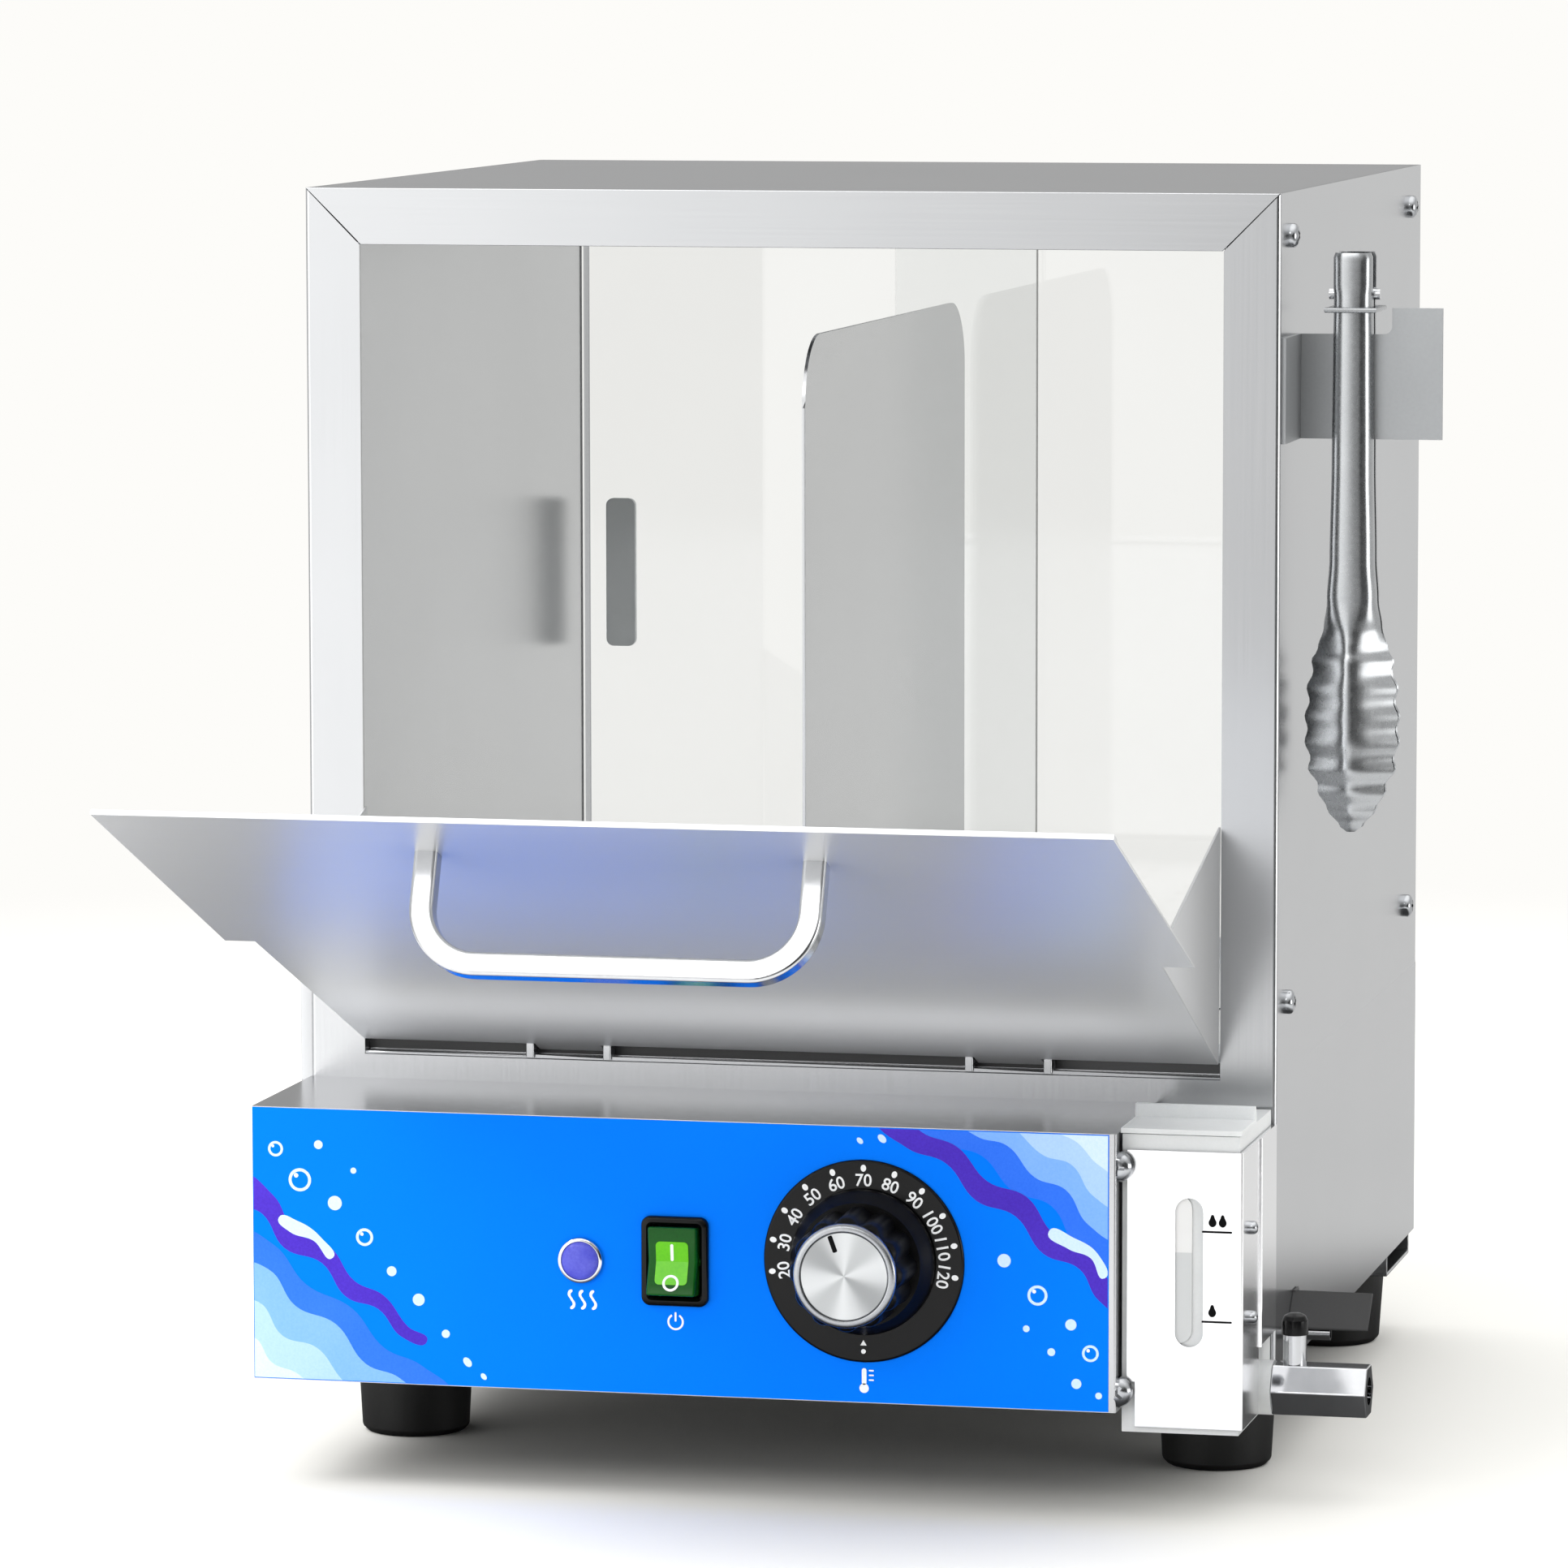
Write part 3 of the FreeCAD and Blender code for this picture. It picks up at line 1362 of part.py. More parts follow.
def make_gauge_tank():
    wall = s.gauge_wall
    pieces = [
        block("gauge_case", (gauge_left, gauge_right), (gauge_front, gauge_back), (gauge_low, gauge_high)),
        rod("gauge_boss", s.boss_radius, s.boss_length + wall, gauge_right - wall, valve_y, valve_z, "+X"),
    ]
    lug_depth = (lid_hinge_y - s.lid_lug_reach, lid_hinge_y + s.lid_lug_reach)
    lug_rise = (gauge_high - wall, lid_hinge_z + s.lid_lug_reach)
    for name, low in (("left", gauge_left), ("right", gauge_right - s.lid_lug_width)):
        pieces.append(block(f"gauge_lug_{name}", (low, low + s.lid_lug_width), lug_depth, lug_rise))
    tools = [
        block("gauge_hollow", (gauge_left + wall, gauge_right - wall),
              (gauge_front + wall, gauge_back - wall), (gauge_low + wall, gauge_high - wall)),
        block("gauge_mouth", (gauge_left + wall * 3, gauge_right - wall * 3),
              (gauge_front + s.gauge_mouth_front, gauge_front + s.gauge_mouth_back),
              (gauge_high - wall - s.overrun, gauge_high + s.overrun)),
        rod("gauge_boss_bore", s.nipple_radius + s.running_gap, s.boss_length + wall * 2 + s.overrun,
            gauge_right - wall * 2, valve_y, valve_z, "+X"),
        rod("gauge_link_bore", s.link_radius + s.running_gap, wall + s.overrun * 2, s.link_place,
            gauge_back + s.overrun, base_low + s.link_rise, "-Y"),
        rod("gauge_lid_bore", s.lid_pin_radius + s.running_gap, gauge_right - gauge_left + s.overrun * 2,
            gauge_left - s.overrun, lid_hinge_y, lid_hinge_z, "+X"),
    ]
    node("gauge_tank", cut("gauge_tank", fused("gauge_moulded", pieces), tools))


def make_gauge_lid():
    left = gauge_left + s.lid_lug_width + s.rest_gap
    right = gauge_right - s.lid_lug_width - s.rest_gap
    low = gauge_high + s.rest_gap
    high = low + s.lid_thickness
    lug_clear = s.lid_lug_reach + s.lid_pin_radius + s.rest_gap
    wide = (gauge_left - s.lid_overhang / 2, gauge_right + s.lid_overhang)
    pieces = [
        block("lid_plate", wide, (gauge_front - s.lid_overhang, lid_hinge_y - lug_clear), (low, high)),
        block("lid_tongue", (left, right), (lid_hinge_y - lug_clear * 2, lid_hinge_y), (low, high)),
        block("lid_lip", wide, (lid_hinge_y - lug_clear - s.lid_lip_width, lid_hinge_y - lug_clear),
              (low, high + s.lid_lip_height)),
        rod("lid_barrel", s.lid_barrel_radius, right - left, left, lid_hinge_y, lid_hinge_z, "+X"),
        rod("lid_pin", s.lid_pin_radius, gauge_right - gauge_left - s.rest_gap * 2,
            gauge_left + s.rest_gap, lid_hinge_y, lid_hinge_z, "+X"),
    ]
    node("gauge_lid", fused("gauge_lid", pieces))


def wing_screw_places():
    return [(panel_front + s.gauge_front_setback + s.wing_screw_front, base_low + height)
            for height in (s.wing_screw_high, s.wing_screw_low)]


def make_gauge_cover():
    sheet_size = s.gauge_cover_sheet
    outer_front = gauge_front - s.rest_gap - sheet_size
    left = gauge_cover_outer - s.gauge_cover_left
    low = base_low - s.gauge_cover_low
    high = base_low + s.gauge_cover_high
    outline = [
        (left, outer_front),
        (gauge_cover_outer, outer_front),
        (gauge_cover_outer, front),
        (gauge_cover_outer - sheet_size, front),
        (gauge_cover_outer - sheet_size, outer_front + sheet_size),
        (left, outer_front + sheet_size),
    ]
    sheet_body = plate("gauge_cover_sheet_metal", "Z", outline, low, high)
    rounded(sheet_body, s.bend_radius / 2, [(gauge_cover_outer, outer_front)], "z")
    bead = rod("gauge_cover_bead", s.wing_bead_radius, s.gauge_cover_high - s.wing_cut_height,
               gauge_cover_outer, front - s.wing_bead_place, base_low + s.wing_cut_height, "+Z")
    depth = (outer_front - s.overrun, outer_front + sheet_size + s.overrun)
    slot_x = gauge_cover_outer - s.slot_right_setback
    slot_half = s.slot_width / 2
    slot_mid = base_low + s.slot_rise
    straight = s.slot_height / 2 - slot_half
    through = sheet_size + s.overrun * 2
    tools = [
        block("cover_slot", (slot_x - slot_half, slot_x + slot_half), depth,
              (slot_mid - straight, slot_mid + straight)),
        rod("cover_slot_top", slot_half, through, slot_x, depth[0], slot_mid + straight, "+Y"),
        rod("cover_slot_end", slot_half, through, slot_x, depth[0], slot_mid - straight, "+Y"),
        block("cover_notch", (left - s.overrun, left + s.gauge_notch_width), depth,
              (low - s.overrun, low + s.gauge_notch_height)),
        block("cover_wing_cut", (gauge_cover_outer - sheet_size - s.overrun, gauge_cover_outer + s.overrun),
              (front - s.wing_cut_depth, front + s.overrun), (low - s.overrun, base_low + s.wing_cut_height)),
    ]
    for index, (y, z) in enumerate(wing_screw_places()):
        tools.append(rod(f"cover_screw_hole_{index}", s.shank_radius + s.fit_gap, through,
                         gauge_cover_outer + s.overrun, y, z, "-X"))
    cover = cut("gauge_cover_slotted", sheet_body, tools)
    node("gauge_cover", fused("gauge_cover", [cover, bead]))


def make_control_screws():
    screws = [screw(f"panel_screw_{index}", control_right, panel_front + s.panel_screw_setback, height,
                    "+X", s.shank_length)
              for index, height in enumerate(panel_screw_places())]
    short = s.gauge_cover_sheet + s.gauge_side_gap
    for index, (y, z) in enumerate(wing_screw_places()):
        screws.append(screw(f"wing_screw_{index}", gauge_cover_outer, y, z, "+X", short))
    node("control_screws", group("control_screws", screws))


def make_gauge_link():
    start = gauge_back - s.gauge_wall
    length = tank_front + s.tank_wall - start
    tube = rod("link_outer", s.link_radius, length, s.link_place, start, base_low + s.link_rise, "+Y")
    bore = rod("link_inner", s.link_bore, length + s.overrun * 2, s.link_place, start - s.overrun,
               base_low + s.link_rise, "+Y")
    node("gauge_link_pipe", cut("gauge_link_pipe", tube, bore))


def make_valve():
    start = boss_end - s.nipple_length
    nipple = rod("nipple_outer", s.nipple_radius, s.nipple_length + s.nipple_bore, start, valve_y,
                 valve_z, "+X")
    nipple_bore = rod("nipple_inner", s.nipple_bore, s.nipple_length + s.nipple_radius * 2,
                      start - s.overrun, valve_y, valve_z, "+X")
    node("valve_nipple", cut("valve_nipple", nipple, nipple_bore))
    sector = as_size(FULL_TURN) / HEX_SIDES
    radius = s.valve_flats / 2 / cosine(sector / 2)
    hexagon = []
    for index in range(HEX_SIDES):
        angle = sector * index
        hexagon.append((valve_y + radius * cosine(angle), valve_z + radius * sine(angle)))
    body = plate("valve_hex", "X", hexagon, boss_end, boss_end + s.valve_length)
    stem_x = boss_end + s.stem_place
    hex_top = valve_z + s.valve_flats / 2
    outlet_start = boss_end + s.valve_length - s.valve_outlet_depth
    tools = [
        rod("valve_outlet", s.valve_outlet_radius, s.valve_outlet_depth + s.overrun, outlet_start,
            valve_y, valve_z, "+X"),
        rod("valve_waterway", s.nipple_bore, s.valve_length, boss_end, valve_y, valve_z, "+X"),
        rod("valve_inlet", s.nipple_radius + s.running_gap, s.nipple_bore + s.overrun,
            boss_end - s.overrun, valve_y, valve_z, "+X"),
        rod("valve_stem_bore", s.stem_radius + s.running_gap, s.stem_sink + s.overrun, stem_x, valve_y,
            hex_top - s.stem_sink, "+Z"),
    ]
    node("valve_body", cut("valve_body", body, tools))
    stem_start = hex_top - s.stem_sink + s.rest_gap
    stem_end = hex_top + s.stem_height
    node("valve_stem", rod("valve_stem", s.stem_radius, stem_end - stem_start, stem_x, valve_y,
                           stem_start, "+Z"))
    dome = [(zero, zero), (s.cap_radius, zero)]
    for across_share, rise_share in DOME_SHARES:
        dome.append((s.cap_radius * across_share, s.cap_length - s.cap_radius + s.cap_radius * rise_share))
    cap = turned("valve_cap_dome", dome, stem_x, valve_y, stem_end, "+Z")
    wing = block("valve_cap_wing", (stem_x - s.cap_wing_width / 2, stem_x + s.cap_wing_width / 2),
                 (valve_y, valve_y + s.cap_wing_reach), (stem_end, stem_end + s.cap_wing_height))
    node("valve_cap", fused("valve_cap", [cap, wing]))


# Right and left side

def make_overflow():
    near = front + s.shield_front
    far = front + s.shield_back
    low = base_low + s.shield_low
    high = base_low + s.shield_high
    thick = s.shield_sheet
    slope = [(near, low), (far, high), (far, high + thick), (near, low + thick)]
    shield = plate("shield_slope", "X", slope, half_width, half_width + s.shield_reach)
    tab = block("shield_tab", (half_width, half_width + thick), (far - thick, far + s.shield_tab),
                (high - s.shield_tab, high + thick))
    node("drip_shield", fused("drip_shield", [shield, tab]))
    start = half_width - s.overflow_inside
    length = s.overflow_inside + s.overflow_reach
    place_y = front + s.overflow_place
    place_z = base_low + s.overflow_rise
    tube = rod("overflow_outer", s.overflow_radius, length, start, place_y, place_z, "+X")
    bore = rod("overflow_inner", s.overflow_bore, length + s.overrun * 2, start - s.overrun, place_y,
               place_z, "+X")
    node("overflow_tube", cut("overflow_tube", tube, bore))


holder_y = front + s.holder_place
holder_low = top - s.holder_drop
holder_top = holder_low + s.holder_height
tongs_x = half_width + s.tongs_reach
tongs_y = holder_y + s.holder_sheet / 2
tongs_z = holder_top + s.tongs_pin_rise


def make_tong_holder():
    end = half_width + s.holder_reach
    ear = end - s.holder_ear_width
    outline = [
        (half_width, holder_low),
        (end, holder_low),
        (end, holder_top + s.holder_ear_height),
        (ear, holder_top + s.holder_ear_height),
        (ear, holder_top),
        (half_width, holder_top),
    ]
    ear_plate = plate("holder_plate", "Y", outline, holder_y, holder_y + s.holder_sheet)
    rounded(ear_plate, s.holder_corner, [(ear, holder_top)], "y")
    flange = block("holder_flange_sheet", (half_width, half_width + s.holder_sheet),
                   (holder_y - s.holder_flange, holder_y + s.holder_sheet),
                   (holder_low, holder_top))
    node("tong_holder", fused("tong_holder", [ear_plate, flange]))


def tong_face():
    """The front outline of an arm: handle, shoulder and four waves down each side to the tip."""
    handle = s.tongs_handle_width / 2
    shoulder = s.tongs_shoulder_width / 2
    head = s.tongs_head_width / 2
    run = s.tongs_tip - s.tongs_shoulder
    right = [
        (s.tongs_top_width / 2, s.tongs_top),
        (handle, -s.tongs_handle_end / 2),
        (handle, -s.tongs_handle_end),
        (shoulder - s.tongs_wave_depth, -s.tongs_shoulder + s.tongs_wave_depth),
        (shoulder, -s.tongs_shoulder),
    ]
    for width_share, start_share in WAVE_SHARES:
        for dip_share, step_share in CREST_SHARES:
            across = head * width_share - s.tongs_wave_depth * dip_share
            right.append((across, -(s.tongs_shoulder + run * (start_share + step_share))))
    right.append((s.tongs_tip_width / 2, -s.tongs_tip))
    left = [(-x, z) for x, z in reversed(right)]
    return right + left


def tong_side(side):
    """The side outline of an arm's sheet: straight handle, bulging head, tip close to the other arm."""
    web = s.tongs_web_reach
    wall = s.tongs_wall
    head = s.tongs_tip - s.tongs_handle_end
    outer = [(web, s.tongs_top)]
    for depth_share, bulge_share in BULGE_SHARES:
        reach = web + (s.tongs_bulge - web) * bulge_share
        outer.append((reach, -(s.tongs_handle_end + head * depth_share)))
    outer.append((s.tongs_tip_reach, -s.tongs_tip))
    inner = [(reach - wall, height) for reach, height in outer]
    ring = outer + list(reversed(inner))
    return [(reach * side, height) for reach, height in ring]


def tong_arm(name, side, lug_half):
    """One arm about the pin: side is -1 for the front arm and 1 for the rear arm."""
    half = s.tongs_head_width
    face = plate(f"{name}_face", "Y", tong_face(), -s.tongs_bulge * 2, s.tongs_bulge * 2)
    band = plate(f"{name}_band", "X", tong_side(side), -half, half)
    pieces = [common(f"{name}_shell", face, band)]
    deep = span(side, s.tongs_inner_gap, s.tongs_web_reach - s.tongs_wall / 2)
    handle_half = s.tongs_handle_width / 2
    drop = (-s.tongs_handle_end, -s.tongs_pin_rise)
    for edge in (1, -1):
        wall = span(edge, handle_half - s.tongs_wall, handle_half)
        pieces.append(block(f"{name}_flange_{edge}", wall, deep, drop))
        lug = span(edge, lug_half - s.tongs_wall, lug_half)
        reach = span(side, -s.tongs_lug_cross, s.tongs_web_reach - s.tongs_wall / 2)
        rise = (-s.tongs_pin_rise + s.rest_gap * 2, s.tongs_lug_rise)
        pieces.append(block(f"{name}_lug_{edge}", lug, reach, rise))
    solid = fused(f"{name}_folded", pieces)
    bore = rod(f"{name}_bore", s.tongs_pin_radius + s.running_gap, half * 2, -half, zero, zero, "+X")
    return place(cut(name, solid, bore), tongs_x, tongs_y, tongs_z)


def make_tongs():
    outer_lug = s.tongs_top_width / 2
    inner_lug = outer_lug - s.tongs_wall - s.tongs_nest_gap
    node("tongs_front_arm", tong_arm("tongs_front_arm", -1, outer_lug))
    node("tongs_rear_arm", tong_arm("tongs_rear_arm", 1, inner_lug))
    node("tongs_pin", rod("tongs_pin", s.tongs_pin_radius, s.tongs_pin_length,
                          tongs_x - s.tongs_pin_length / 2, tongs_y, tongs_z, "+X"))
    wire = s.tongs_ring_wire
    half_x = s.tongs_handle_width / 2 + s.rest_gap
    near_y = -(s.tongs_web_reach + s.rest_gap)
    far_y = s.tongs_web_reach + s.tongs_ring_gap
    low = -s.tongs_ring_drop - wire / 2
    outer = [(-half_x - wire, near_y - wire), (half_x + wire, near_y - wire),
             (half_x + wire, far_y + wire), (-half_x - wire, far_y + wire)]
    ring = plate("ring_outer", "Z", outer, low, low + wire)
    hole = block("ring_hole", (-half_x, half_x), (near_y, far_y), (low - s.overrun, low + wire + s.overrun))
    node("tongs_ring", place(cut("tongs_ring", ring, hole), tongs_x, tongs_y, tongs_z))


def make_tongs_spring():
    """A coil round the pin, made from the sheet's sizes."""
    pitch = s.tongs_spring_pitch.value
    length = pitch * s.tongs_spring_turns.value
    helix = Part.makeHelix(pitch, length, s.tongs_spring_radius.value)
    start = FreeCAD.Vector(s.tongs_spring_radius.value, 0, 0)
    section = Part.Wire([Part.Circle(start, FreeCAD.Vector(0, 1, 0), s.tongs_spring_wire.value).toShape()])
    coil = doc.addObject("Part::Feature", "tongs_spring")
    coil.Shape = Part.Wire(helix.Edges).makePipeShell([section], True, True)
    place(coil, tongs_x - as_size(length) / 2, tongs_y, tongs_z, "+X")
    node("tongs_spring", coil)


def make_service_cover():
    low = base_low + s.cover_low
    near = front + s.cover_front
    outer = -half_width - s.cover_depth
    case = block("cover_case", (outer, -half_width), (near, near + s.cover_length),
                 (low, low + s.cover_height))
    wall = s.cover_wall
    hollow = block("cover_hollow", (outer + wall, -half_width + s.overrun),
                   (near + wall, near + s.cover_length - wall), (low + wall, low + s.cover_height - wall))
    node("service_cover", cut("service_cover", case, hollow))


make_top_panel()
make_side_panel("left_side_panel", -1)
make_side_panel("right_side_panel", 1)
make_liner("left_liner", -1)
make_liner("right_liner", 1)
make_brackets()
make_side_screws()
make_door_panel()
make_door_handle()
make_handle_screws()
make_front_sill()
make_hinge_rod()
make_tracks()
make_glass("left_glass", "left_pull", -1)
make_glass("right_glass", "right_pull", 1)
make_base_shell()
make_base_rear_panel()
make_cord_gland()
make_bottom_plate()
make_rear_foot_channel()
make_feet()
make_water_tank()
make_heating_element()
make_steam_tray()
make_divider()
make_control_box()
make_panel_overlay()
make_dial_plate()
make_thermostat()
make_sensor_bulb()
make_knob()
make_switch()
make_lamp()
make_gauge_tank()
make_gauge_lid()
make_gauge_cover()
make_control_screws()
make_gauge_link()
make_valve()
make_overflow()
make_tong_holder()
make_tongs()
make_tongs_spring()
make_service_cover()
doc.recompute()

for item in doc.Objects:
    if "Invalid" in item.State or "Error" in item.State:
        raise RuntimeError(f"{item.Label} did not recompute: {item.State}")
for item in nodes:
    if item.Shape.isNull() or not item.Shape.isValid() or not item.Shape.Solids:
        raise RuntimeError(f"{item.Label} has no valid solid")

os.makedirs("parts", exist_ok=True)
for item in nodes:
    item.Shape.exportStep(f"parts/{item.Label}.step")
    box = item.Shape.BoundBox
    print(f"{item.Label:18s} solids {len(item.Shape.Solids):3d}  volume {item.Shape.Volume:10.1f}  "
          f"x {box.XMin:7.1f} {box.XMax:7.1f}  y {box.YMin:7.1f} {box.YMax:7.1f}  "
          f"z {box.ZMin:6.1f} {box.ZMax:6.1f}")
print(len(nodes), "nodes")
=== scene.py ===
"""Finish of a counter-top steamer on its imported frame: sheet metal, glass, controls, gauge and tongs."""

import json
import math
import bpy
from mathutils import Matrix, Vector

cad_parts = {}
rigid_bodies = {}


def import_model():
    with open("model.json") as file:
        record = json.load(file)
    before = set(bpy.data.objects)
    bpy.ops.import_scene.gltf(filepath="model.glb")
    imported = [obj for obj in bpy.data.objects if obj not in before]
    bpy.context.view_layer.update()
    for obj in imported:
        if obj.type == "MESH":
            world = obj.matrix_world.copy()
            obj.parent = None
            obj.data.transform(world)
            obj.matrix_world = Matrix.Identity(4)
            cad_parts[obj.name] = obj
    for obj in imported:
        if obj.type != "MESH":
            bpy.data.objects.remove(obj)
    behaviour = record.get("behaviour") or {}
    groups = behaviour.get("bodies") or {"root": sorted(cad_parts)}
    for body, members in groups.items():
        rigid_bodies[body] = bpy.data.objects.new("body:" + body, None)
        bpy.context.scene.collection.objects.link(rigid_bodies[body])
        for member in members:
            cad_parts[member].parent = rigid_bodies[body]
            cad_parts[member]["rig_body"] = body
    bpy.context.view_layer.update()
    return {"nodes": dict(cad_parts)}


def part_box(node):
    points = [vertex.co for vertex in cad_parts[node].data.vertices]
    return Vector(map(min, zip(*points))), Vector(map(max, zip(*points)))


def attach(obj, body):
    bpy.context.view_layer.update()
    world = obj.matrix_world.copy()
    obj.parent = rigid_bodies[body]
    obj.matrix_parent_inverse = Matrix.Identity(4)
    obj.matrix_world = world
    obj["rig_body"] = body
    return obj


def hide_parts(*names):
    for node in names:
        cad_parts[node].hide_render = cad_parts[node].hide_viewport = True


bl_info = {
    "name": "Counter-top steamer",
    "version": (1, 0, 0),
    "blender": (4, 5, 0),
    "location": "View3D > Sidebar > Steamer",
    "description": "Models the visible pieces and finishes of a counter-top steamer on its packed frame",
    "category": "Object",
}

import bmesh
import bpy
from bpy.props import FloatProperty, FloatVectorProperty, IntProperty, PointerProperty
from mathutils import Matrix, Vector

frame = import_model()
slots = {name: cad.data.materials[0].name.split(".")[0] for name, cad in frame["nodes"].items()}

MM = 0.001
FULL_TURN = math.tau
QUARTER_TURN = math.tau / 4
WELD = 1e-6
SHARP_EDGE = math.radians(32)
FLAT_JOIN = math.radians(0.4)
FRONT_VIEW = Matrix.Rotation(QUARTER_TURN, 4, "X")
DOOR_ANGLE = math.radians(68)


# Colours and materials


def linear(code):
    """Linear colour with full opacity from an sRGB hex code."""
    shares = [int(code[start : start + 2], 16) / 255 for start in (1, 3, 5)]
    parts = [c / 12.92 if c <= 0.04045 else ((c + 0.055) / 1.055) ** 2.4 for c in shares]
    return (*parts, 1.0)


def add_node(tree, kind, inputs=None, **settings):
    """Add a node with its settings; each input is a value, an output, or a node for its first live output."""
    added = tree.nodes.new(kind)
    for name, value in settings.items():
        setattr(added, name, value)
    for name, value in (inputs or {}).items():
        if isinstance(value, bpy.types.Node):
            value = next(output for output in value.outputs if output.enabled)
        if isinstance(value, bpy.types.NodeSocket):
            tree.links.new(value, added.inputs[name])
        else:
            added.inputs[name].default_value = value
    return added


def empty_material(name):
    """A material with an empty node tree, and where its points are on the object."""
    material = bpy.data.materials.new(name)
    material.use_nodes = True
    tree = material.node_tree
    tree.nodes.clear()
    return material, tree, add_node(tree, "ShaderNodeTexCoord").outputs["Object"]


def with_shader(material, inputs):
    """Close a material's tree with its shader, which has these inputs, and its output."""
    shader = add_node(material.node_tree, "ShaderNodeBsdfPrincipled", inputs)
    add_node(material.node_tree, "ShaderNodeOutputMaterial", {"Surface": shader})
    return material


# Lengths of the grain of sheet that is ground along one way, in millimetres: the real lines are about
# 0.1 mm apart, and these are drawn coarser, so that they show
GRAIN = {"X": (110.0, 1.0, 1.0), "Z": (1.0, 1.0, 110.0)}
GRAIN_DETAIL = 3.0
DRIFT_DETAIL = 2.0
NOISE_ROUGHNESS = 0.55
# Most values of one noise lie between the first two, and most sums of two noises between the last two
NOISE_LOW = 0.3
NOISE_HIGH = 0.7
TWO_NOISES_LOW = 0.7
TWO_NOISES_HIGH = 1.3
GLOSS_SPREAD_SHARE = 0.05


def surfaced(name, tones, rough, grain_mm, relief_mm, drift_mm=30.0, **inputs):
    """A material with a fine grain in its gloss and relief, and a slow drift between two tones.

    The grain is one length, or one for each of X, Y and Z; further inputs go to the shader as they are."""
    material, tree, place = empty_material(name)
    grain_sizes = grain_mm if isinstance(grain_mm, tuple) else (grain_mm,) * 3
    noises = []
    for sizes, detail in ((grain_sizes, GRAIN_DETAIL), ((drift_mm,) * 3, DRIFT_DETAIL)):
        scaled = add_node(tree, "ShaderNodeMapping",
                          {"Vector": place, "Scale": [1 / (size * MM) for size in sizes]})
        noises.append(add_node(tree, "ShaderNodeTexNoise", {"Vector": scaled, "Scale": 1.0, "Detail": detail,
                                                            "Roughness": NOISE_ROUGHNESS}))
    grain, drift = noises
    both = add_node(tree, "ShaderNodeMath", {0: grain, 1: drift}, operation="ADD")
    share = add_node(tree, "ShaderNodeMapRange",
                     {"Value": both, "From Min": TWO_NOISES_LOW, "From Max": TWO_NOISES_HIGH})
    low, high = [linear(tone) if isinstance(tone, str) else tuple(tone) for tone in tones]
    shade = add_node(tree, "ShaderNodeMix", {"Factor": share, "A": low, "B": high}, data_type="RGBA")
    gloss = add_node(tree, "ShaderNodeMapRange",
                     {"Value": grain, "From Min": NOISE_LOW, "From Max": NOISE_HIGH,
                      "To Min": rough * (1 - GLOSS_SPREAD_SHARE), "To Max": rough * (1 + GLOSS_SPREAD_SHARE)})
    relief = add_node(tree, "ShaderNodeBump", {"Height": grain, "Strength": 1.0, "Distance": relief_mm * MM})
    return with_shader(material, {"Base Color": shade, "Roughness": gloss, "Normal": relief, **inputs})


def lit_through(material):
    """Let light reach what is behind a clear pane: no shadow, and only slightly less scattered light."""
    tree = material.node_tree
    output = next(node for node in tree.nodes if node.type == "OUTPUT_MATERIAL")
    glass = output.inputs["Surface"].links[0].from_socket
    ray = add_node(tree, "ShaderNodeLightPath").outputs
    soft = add_node(tree, "ShaderNodeMath", {0: ray["Is Shadow Ray"], 1: ray["Is Diffuse Ray"]},
                    operation="MAXIMUM")
    clear = add_node(tree, "ShaderNodeBsdfTransparent", {"Color": linear("#e6e8e7")})
    mix = add_node(tree, "ShaderNodeMixShader", {0: soft, 1: glass, 2: clear})
    tree.links.new(mix.outputs["Shader"], output.inputs["Surface"])
    return material


# Painted highlight: the light and dark sectors painted into the colour of the spun face, and the turn of the
# first one in radians
PAINTED_FANS = 4.0
PAINTED_FAN_START = 0.9


def spun_face(name, tones, rough, middle):
    """Spun aluminium with rings round the middle of the face, and four soft fans of painted highlight and
    shade in its colour.
    """
    material, tree, place = empty_material(name)
    centred = add_node(tree, "ShaderNodeVectorMath", {0: place, 1: middle}, operation="SUBTRACT")
    parts = add_node(tree, "ShaderNodeSeparateXYZ", {"Vector": centred}).outputs
    turn = add_node(tree, "ShaderNodeMath", {0: parts["Z"], 1: parts["X"]}, operation="ARCTAN2")
    fourfold = add_node(tree, "ShaderNodeMath", {0: turn, 1: PAINTED_FANS, 2: PAINTED_FAN_START}, operation="MULTIPLY_ADD")
    wave = add_node(tree, "ShaderNodeMath", {0: fourfold}, operation="SINE")
    # painted highlight: the colour swings from the dark tone to the light one and back in four fans round the
    # middle
    share = add_node(tree, "ShaderNodeMapRange", {"Value": wave, "From Min": -1.0},
                     interpolation_type="SMOOTHSTEP")
    low, high = [linear(tone) for tone in tones]
    shade = add_node(tree, "ShaderNodeMix", {"Factor": share, "A": low, "B": high}, data_type="RGBA")
    rings = add_node(tree, "ShaderNodeTangent", direction_type="RADIAL", axis="Y")
    return with_shader(material, {"Base Color": shade, "Metallic": 1.0, "Roughness": rough,
                                  "Anisotropic": 0.8, "Tangent": rings})


def level_window(name, above, below, height, blur=0.2 * MM):
    """Frosted window in front of the water: paler above the level than below it."""
    material, tree, place = empty_material(name)
    parts = add_node(tree, "ShaderNodeSeparateXYZ", {"Vector": place}).outputs
    rise = add_node(tree, "ShaderNodeMapRange",
                    {"Value": parts["Z"], "From Min": height - blur, "From Max": height + blur})
    shade = add_node(tree, "ShaderNodeMix", {"Factor": rise, "A": below, "B": above}, data_type="RGBA")
    return with_shader(material, {"Base Color": shade, "Roughness": 0.3, "IOR": 1.49})


